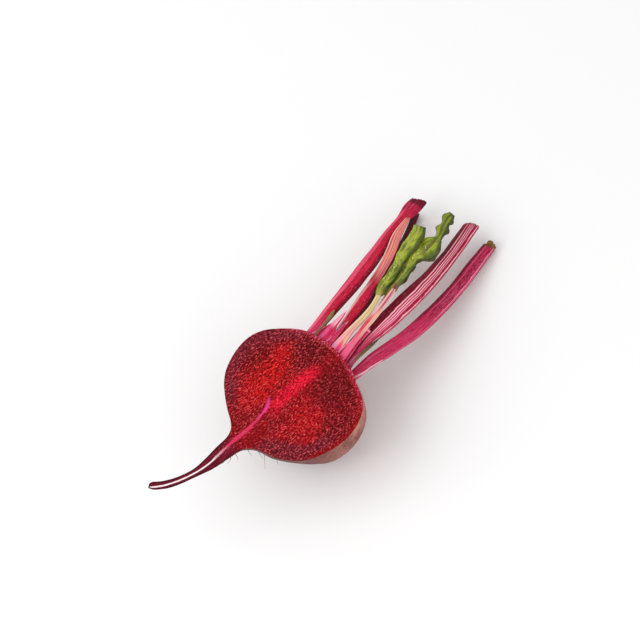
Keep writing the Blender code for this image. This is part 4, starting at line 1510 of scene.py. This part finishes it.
# The dark red line in its groove is painted shade.
SHEATH = StemFinish(
    "crown_sheath",
    ground=shade(206, 26, 78),
    streak=shade(238, 84, 134),
    dark=shade(150, 4, 44),
    bands=(
        Band(shade(255, 150, 184), (-1.0, 9.0), (0.33, 0.33), 0.05, 0.8, rise=0.1),
        Band(shade(160, 6, 48), (-1.0, 9.0), (0.2, 0.2), 0.03, 0.7, rise=-0.15),
        Band(shade(246, 120, 156), (-1.0, 9.0), (0.04, 0.04), 0.04, 0.6),
    ),
    foot=shade(200, 20, 64),
    tip=shade(250, 150, 170),
    tip_start=0.9,
)
DULL_SHEATH = StemFinish(
    "dull_sheath",
    ground=shade(150, 58, 82),
    streak=shade(176, 84, 104),
    dark=shade(96, 14, 40),
    bands=(Band(shade(196, 110, 128), (-1.0, 9.0), (0.3, 0.3), 0.06, 0.7),),
    foot=shade(170, 24, 62),
    tip=shade(150, 70, 90),
)
DRY_CURL = StemFinish(
    "dry_curl",
    ground=shade(112, 84, 44),
    streak=shade(160, 132, 74),
    dark=shade(60, 40, 16),
    foot=shade(120, 60, 50),
    tip=shade(150, 120, 60),
    painted_glint=shade(200, 180, 120),
)
FRAYED = StemFinish(
    "frayed_skin",
    ground=shade(246, 184, 200),
    streak=shade(252, 214, 222),
    dark=shade(206, 84, 120),
    foot=shade(200, 90, 110),
    foot_share=0.5,
    tip=shade(250, 210, 216),
)
# The dark red line in its groove is painted shade.
PINK = StemFinish(
    "pink_scale",
    ground=shade(208, 12, 74),
    streak=shade(232, 60, 116),
    dark=shade(160, 0, 50),
    bands=(
        Band(shade(240, 96, 150), (-1.0, 1.4), (0.34, 0.34), 0.1, 0.8),
        Band(shade(170, 0, 56), (0.4, 1.8), (0.17, 0.17), 0.05, 0.8, rise=-0.1),
        Band(shade(252, 160, 190), (1.7, 6.0), (0.3, 0.28), 0.16, 0.9, soft=0.4),
        Band(shade(255, 206, 216), (2.0, 6.0), (0.2, 0.2), 0.04, 0.8),
    ),
    foot=shade(214, 50, 92),
    tip=shade(255, 200, 206),
    tip_start=0.94,
)
OLIVE = PlainPartFinish(
    "olive_bud", ground=shade(150, 80, 66), streak=shade(120, 76, 44), tip=shade(118, 112, 36), tip_start=0.5
)
SLIVER = PlainPartFinish(
    "olive_sliver", ground=shade(80, 60, 26), streak=shade(116, 100, 40), tip=shade(70, 60, 20), tip_start=0.5
)


def stems() -> list[Stem]:
    """The five stems, each along its own line of x, y, z, half width and half height."""
    return [
        Stem(
            "crimson_stem_1",
            "stem_1",
            "crimson_stem",
            (
                (28.0, 22.7, 36.5, 2.8, 3.2), (44.6, 26.9, 34.5, 3.4, 3.5), (59.1, 30.8, 32.0, 4.0, 3.5),
                (72.1, 35.6, 28.5, 4.2, 3.4), (81.5, 39.8, 25.0, 3.8, 3.1), (91.5, 44.9, 21.0, 3.1, 2.8),
                (101.1, 48.6, 17.2, 3.0, 2.6), (108.5, 50.9, 15.0, 4.6, 2.7), (115.0, 52.6, 13.2, 4.3, 2.5),
            ),
            Section.CHANNELLED,
            CRIMSON,
            CutEndFinish("crimson_end", shade(150, 40, 60), shade(84, 10, 26)),
            seed=21,
        ),
        Stem(
            "salmon_stem_2",
            "stem_2",
            "salmon_stem",
            (
                (31.0, 11.0, 34.5, 2.7, 2.6), (44.9, 15.8, 33.0, 2.9, 3.2), (58.1, 21.6, 29.0, 3.6, 3.2),
                (66.2, 25.7, 26.8, 2.9, 2.8), (76.7, 29.7, 26.4, 2.7, 2.2), (85.9, 34.2, 26.2, 2.9, 1.9),
                (94.2, 39.8, 24.6, 2.5, 1.7), (104.6, 44.7, 21.6, 1.0, 1.0),
            ),
            Section.SLICED,
            SALMON,
            CutEndFinish("salmon_end"),
            seed=24,
        ),
        Stem(
            "dark_stem_3",
            "stem_3",
            "dark_stem",
            (
                (28.0, 14.0, 26.0, 2.2, 2.1), (51.5, 20.0, 20.0, 2.3, 2.1), (72.4, 30.2, 13.5, 2.2, 2.0),
                (89.1, 40.6, 7.5, 2.1, 1.9), (100.4, 47.7, 4.0, 2.0, 1.8), (110.4, 54.4, 1.8, 1.9, 1.8),
            ),
            Section.ROUND,
            DARK_STEM,
            CutEndFinish("dark_end", shade(160, 70, 90), shade(96, 50, 40)),
            seed=27,
        ),
        Stem(
            "ribbed_stem_4",
            "stem_4",
            "ribbed_stem",
            (
                (28.5, -4.5, 35.0, 2.0, 2.2), (38.0, -1.5, 34.2, 2.4, 2.4), (47.0, 1.1, 32.5, 4.3, 3.0),
                (61.5, 4.1, 28.5, 5.6, 3.4), (76.5, 7.1, 24.5, 5.6, 3.4), (92.0, 11.1, 19.5, 4.9, 3.2),
                (106.9, 16.5, 14.5, 4.4, 3.0), (125.5, 24.6, 8.5, 4.1, 2.8),
            ),
            Section.ROUND,
            RIBBED,
            CutEndFinish("ribbed_end", shade(210, 130, 130), shade(120, 84, 52)),
            seed=30,
        ),
        Stem(
            "magenta_stem_5",
            "stem_5",
            "magenta_stem",
            (
                (26.6, -10.2, 34.2, 2.7, 2.7), (39.6, -9.1, 31.4, 3.6, 3.0), (50.4, -8.6, 28.0, 4.0, 3.2),
                (62.9, -7.6, 23.5, 4.2, 3.3), (75.5, -5.1, 19.0, 4.5, 3.4), (87.5, -1.8, 14.5, 4.2, 3.3),
                (98.9, 2.2, 10.2, 4.1, 3.2), (111.9, 7.2, 6.2, 4.0, 3.0), (126.0, 12.1, 2.8, 3.4, 2.8),
            ),
            Section.CHANNELLED,
            MAGENTA,
            CutEndFinish("magenta_end", shade(150, 110, 70), shade(96, 70, 34)),
            seed=33,
        ),
    ]


def crown_parts() -> list[Stem]:
    """The torn stub and the small parts of the crown."""
    small = {"columns": 70, "sides": 32, "foot": 3.0, "wobble": 0.2, "slant": 0.0, "ragged": 0.0}
    return [
        Stem(
            "torn_stub_face",
            "torn_stub",
            "torn_face",
            (
                (28.5, -1.2, 39.6, 2.1, 1.0), (39.0, 1.7, 38.9, 1.8, 1.0), (48.0, 4.7, 37.4, 1.9, 1.0),
                (56.1, 7.0, 35.8, 2.0, 0.9), (64.1, 10.0, 33.6, 1.7, 0.8), (70.1, 12.7, 31.6, 1.4, 0.7),
                (75.5, 15.2, 30.4, 0.5, 0.5),
            ),
            Section.CHANNELLED,
            TORN,
            seed=50,
            **small,
        ),
        Stem(
            "pink_crown_scale",
            "crown_scale",
            "pink_scale",
            (
                (28.0, 14.6, 38.6, 3.4, 0.9), (34.0, 15.3, 39.0, 3.0, 0.8), (38.0, 16.0, 39.6, 1.9, 0.7),
                (42.5, 16.4, 40.2, 1.2, 0.6), (47.0, 16.8, 40.8, 0.4, 0.4),
            ),
            Section.ROUND,
            PINK,
            seed=53,
            **small,
        ),
        Stem(
            "olive_crown_bud",
            "crown_bud",
            "olive_bud",
            (
                (27.0, 18.6, 40.4, 0.9, 0.7), (36.0, 19.8, 40.8, 0.9, 0.7), (39.5, 20.4, 41.2, 1.0, 0.7),
                (42.5, 21.2, 41.6, 0.4, 0.4),
            ),
            Section.ROUND,
            OLIVE,
            seed=56,
            **small,
        ),
        Stem(
            "olive_crown_sliver",
            "crown_sliver",
            "olive_bud",
            (
                (30.0, -6.8, 38.2, 0.6, 0.5), (37.0, -5.8, 37.4, 0.9, 0.6), (44.0, -4.8, 35.9, 0.9, 0.6),
                (50.0, -3.6, 34.0, 0.35, 0.35),
            ),
            Section.ROUND,
            SLIVER,
            seed=59,
            **small,
        ),
    ]


def sheaths() -> list[Stem]:
    """The pointed sheaths, the flap and the frayed skin at the crown, and the dry curls at a stem's tip."""
    thin = {"columns": 60, "sides": 36, "foot": 3.0, "wobble": 0.25, "slant": 0.0, "ragged": 0.0}
    finishes = {"sheath_e": DULL_SHEATH, "tip_curl": DRY_CURL, "tip_rag": DRY_CURL, "frayed_skin": FRAYED}
    lines = {
        "sheath_a": (
            (27.4, 20.0, 38.4, 1.9, 0.9), (32.0, 19.0, 38.0, 1.5, 0.8), (38.5, 18.6, 37.0, 0.3, 0.3),
        ),
        "sheath_b": (
            (27.6, 11.0, 38.6, 2.2, 1.0), (34.0, 11.9, 38.2, 1.8, 0.9), (44.0, 13.9, 36.6, 0.3, 0.3),
        ),
        "sheath_c": (
            (28.6, 2.2, 38.4, 2.0, 1.0), (36.0, 2.7, 37.8, 1.6, 0.9), (50.0, 4.0, 34.6, 0.3, 0.3),
        ),
        "sheath_d": (
            (28.4, -1.8, 37.6, 2.2, 1.0), (36.0, -0.2, 37.4, 1.5, 0.9), (47.0, 2.6, 36.2, 0.3, 0.3),
        ),
        "sheath_e": (
            (27.6, -7.0, 38.4, 1.9, 0.9), (33.0, -5.6, 38.0, 1.5, 0.8), (38.6, -4.6, 37.0, 0.3, 0.3),
        ),
        "flap": (
            (40.0, 0.6, 36.6, 0.8, 0.5), (45.0, 1.8, 37.0, 1.5, 0.5), (48.6, 2.4, 36.8, 1.6, 0.4),
        ),
        "tip_curl": (
            (125.2, 12.2, 4.6, 1.0, 0.7), (126.7, 12.2, 5.4, 1.2, 0.9), (127.6, 10.6, 5.4, 0.7, 0.6),
        ),
        "tip_rag": (
            (125.6, 10.4, 4.6, 1.0, 0.7), (126.8, 10.0, 4.9, 1.1, 0.7), (127.6, 9.2, 4.5, 0.6, 0.5),
        ),
        "frayed_skin": (
            (26.4, -12.4, 36.4, 0.5, 0.4), (32.4, -13.2, 35.0, 0.6, 0.4), (36.7, -12.9, 33.6, 0.5, 0.4),
            (43.5, -12.9, 31.6, 0.2, 0.2),
        ),
    }
    made = []
    for number, (name, rows) in enumerate(lines.items()):
        finish = finishes.get(name, SHEATH)
        thin["seed"] = 70 + number
        made.append(Stem(f"small_{name}", "", "pink_scale", rows, Section.CHANNELLED, finish, **thin))
    return made


def leaves() -> list[Leaf]:
    """The two young leaves, each with its stalk."""
    thin = {"columns": 90, "sides": 28, "foot": 3.0, "wobble": 0.14, "slant": 0.0, "ragged": 0.0}
    first_stalk = Stem(
        "leaf_1_stalk",
        "leaf_1",
        "young_leaf",
        (
            (29.5, 5.4, 38.6, 3.6, 1.3), (36.0, 7.1, 38.2, 2.6, 1.3), (42.5, 8.7, 37.3, 2.1, 1.2),
            (52.0, 11.2, 34.2, 1.9, 1.1), (60.0, 14.6, 31.3, 1.6, 1.0), (67.0, 18.8, 29.2, 1.4, 0.9),
        ),
        Section.CHANNELLED,
        STALK,
        seed=61,
        **thin,
    )
    second_stalk = Stem(
        "leaf_2_stalk",
        "leaf_2",
        "young_leaf",
        (
            (29.0, 3.6, 34.4, 1.3, 1.1), (42.5, 6.9, 32.4, 1.2, 1.0), (54.5, 10.3, 28.8, 1.2, 1.0),
            (64.5, 15.3, 25.6, 1.2, 1.0), (71.2, 18.0, 24.4, 1.1, 0.9),
        ),
        Section.CHANNELLED,
        OLIVE_STALK,
        seed=64,
        **thin,
    )
    first_rows = (
        (63.6, 18.2, 29.6, 64.6, 16.4, 29.2, 0.2), (68.5, 22.6, 28.4, 69.5, 17.8, 27.6, 1.6),
        (74.5, 24.2, 27.6, 76.5, 19.6, 26.6, 2.0), (83.0, 27.6, 26.6, 85.0, 23.0, 25.8, 2.2),
        (88.0, 30.8, 26.2, 90.5, 25.2, 25.2, 2.0), (93.5, 32.6, 26.0, 96.4, 25.9, 25.5, 2.2),
        (99.9, 34.4, 26.0, 102.4, 28.1, 25.7, 1.8), (103.0, 36.4, 26.2, 106.3, 30.7, 25.8, 1.2),
    )
    second_rows = (
        (67.6, 18.1, 25.0, 68.4, 15.9, 24.6, 0.2), (72.7, 20.3, 24.6, 74.7, 16.3, 24.0, 1.4),
        (79.2, 21.7, 24.2, 81.7, 17.5, 23.4, 1.5), (86.2, 24.3, 23.6, 88.7, 19.5, 23.0, 1.4),
        (92.2, 26.5, 23.4, 92.7, 20.7, 22.6, 1.2), (96.2, 27.7, 23.2, 95.7, 17.7, 22.2, 1.0),
        (99.7, 29.3, 23.4, 99.7, 16.3, 22.0, 1.0), (102.7, 28.5, 23.6, 103.7, 17.3, 22.2, 1.0),
        (105.4, 26.1, 23.4, 106.4, 20.3, 22.6, 0.8), (108.2, 25.7, 23.6, 109.6, 21.7, 22.8, 0.8),
        (110.8, 28.5, 24.0, 113.4, 22.5, 22.8, 0.9), (114.2, 28.7, 24.2, 115.8, 24.1, 23.0, 1.0),
        (117.2, 30.5, 24.4, 117.8, 24.5, 23.2, 0.9), (120.8, 29.7, 24.6, 121.2, 26.5, 23.6, 0.4),
    )
    return [
        Leaf("leaf_1_blade", "leaf_1", first_stalk, first_rows, LeafFinish("lime_leaf"), seed=41),
        Leaf(
            "leaf_2_blade",
            "leaf_2",
            second_stalk,
            second_rows,
            LeafFinish("lobed_leaf", dark_end=0.75),
            curl_end=80.0,
            wave=0.9,
            waves=8.0,
            pucker=0.6,
            lobe=0.10,
            seed=44,
        ),
    ]


def find_shift(root: BeetRoot) -> np.ndarray:
    """The move from the beetroot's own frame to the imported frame, in millimetres, by the box of the root's node."""
    low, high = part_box("root_half")
    widest = float(root.edges(np.linspace(0.0, 1.0, 2000))[:, 1].max())
    return np.array((low[0] / MM - TAIL_END_X, high[1] / MM - widest, 0.0))


ROOT = BeetRoot()
SHIFT = find_shift(ROOT)


def main() -> None:
    """Builds every sub-assembly in order."""
    logging.basicConfig(level=logging.INFO, format="%(name)s %(message)s")
    ROOT.build()
    for stem in stems() + crown_parts() + sheaths():
        stem.build()
    for leaf in leaves():
        leaf.build()
    Rootlets().build()
    Studio().build()
    deselect_all()


if __name__ == "__main__":
    main()
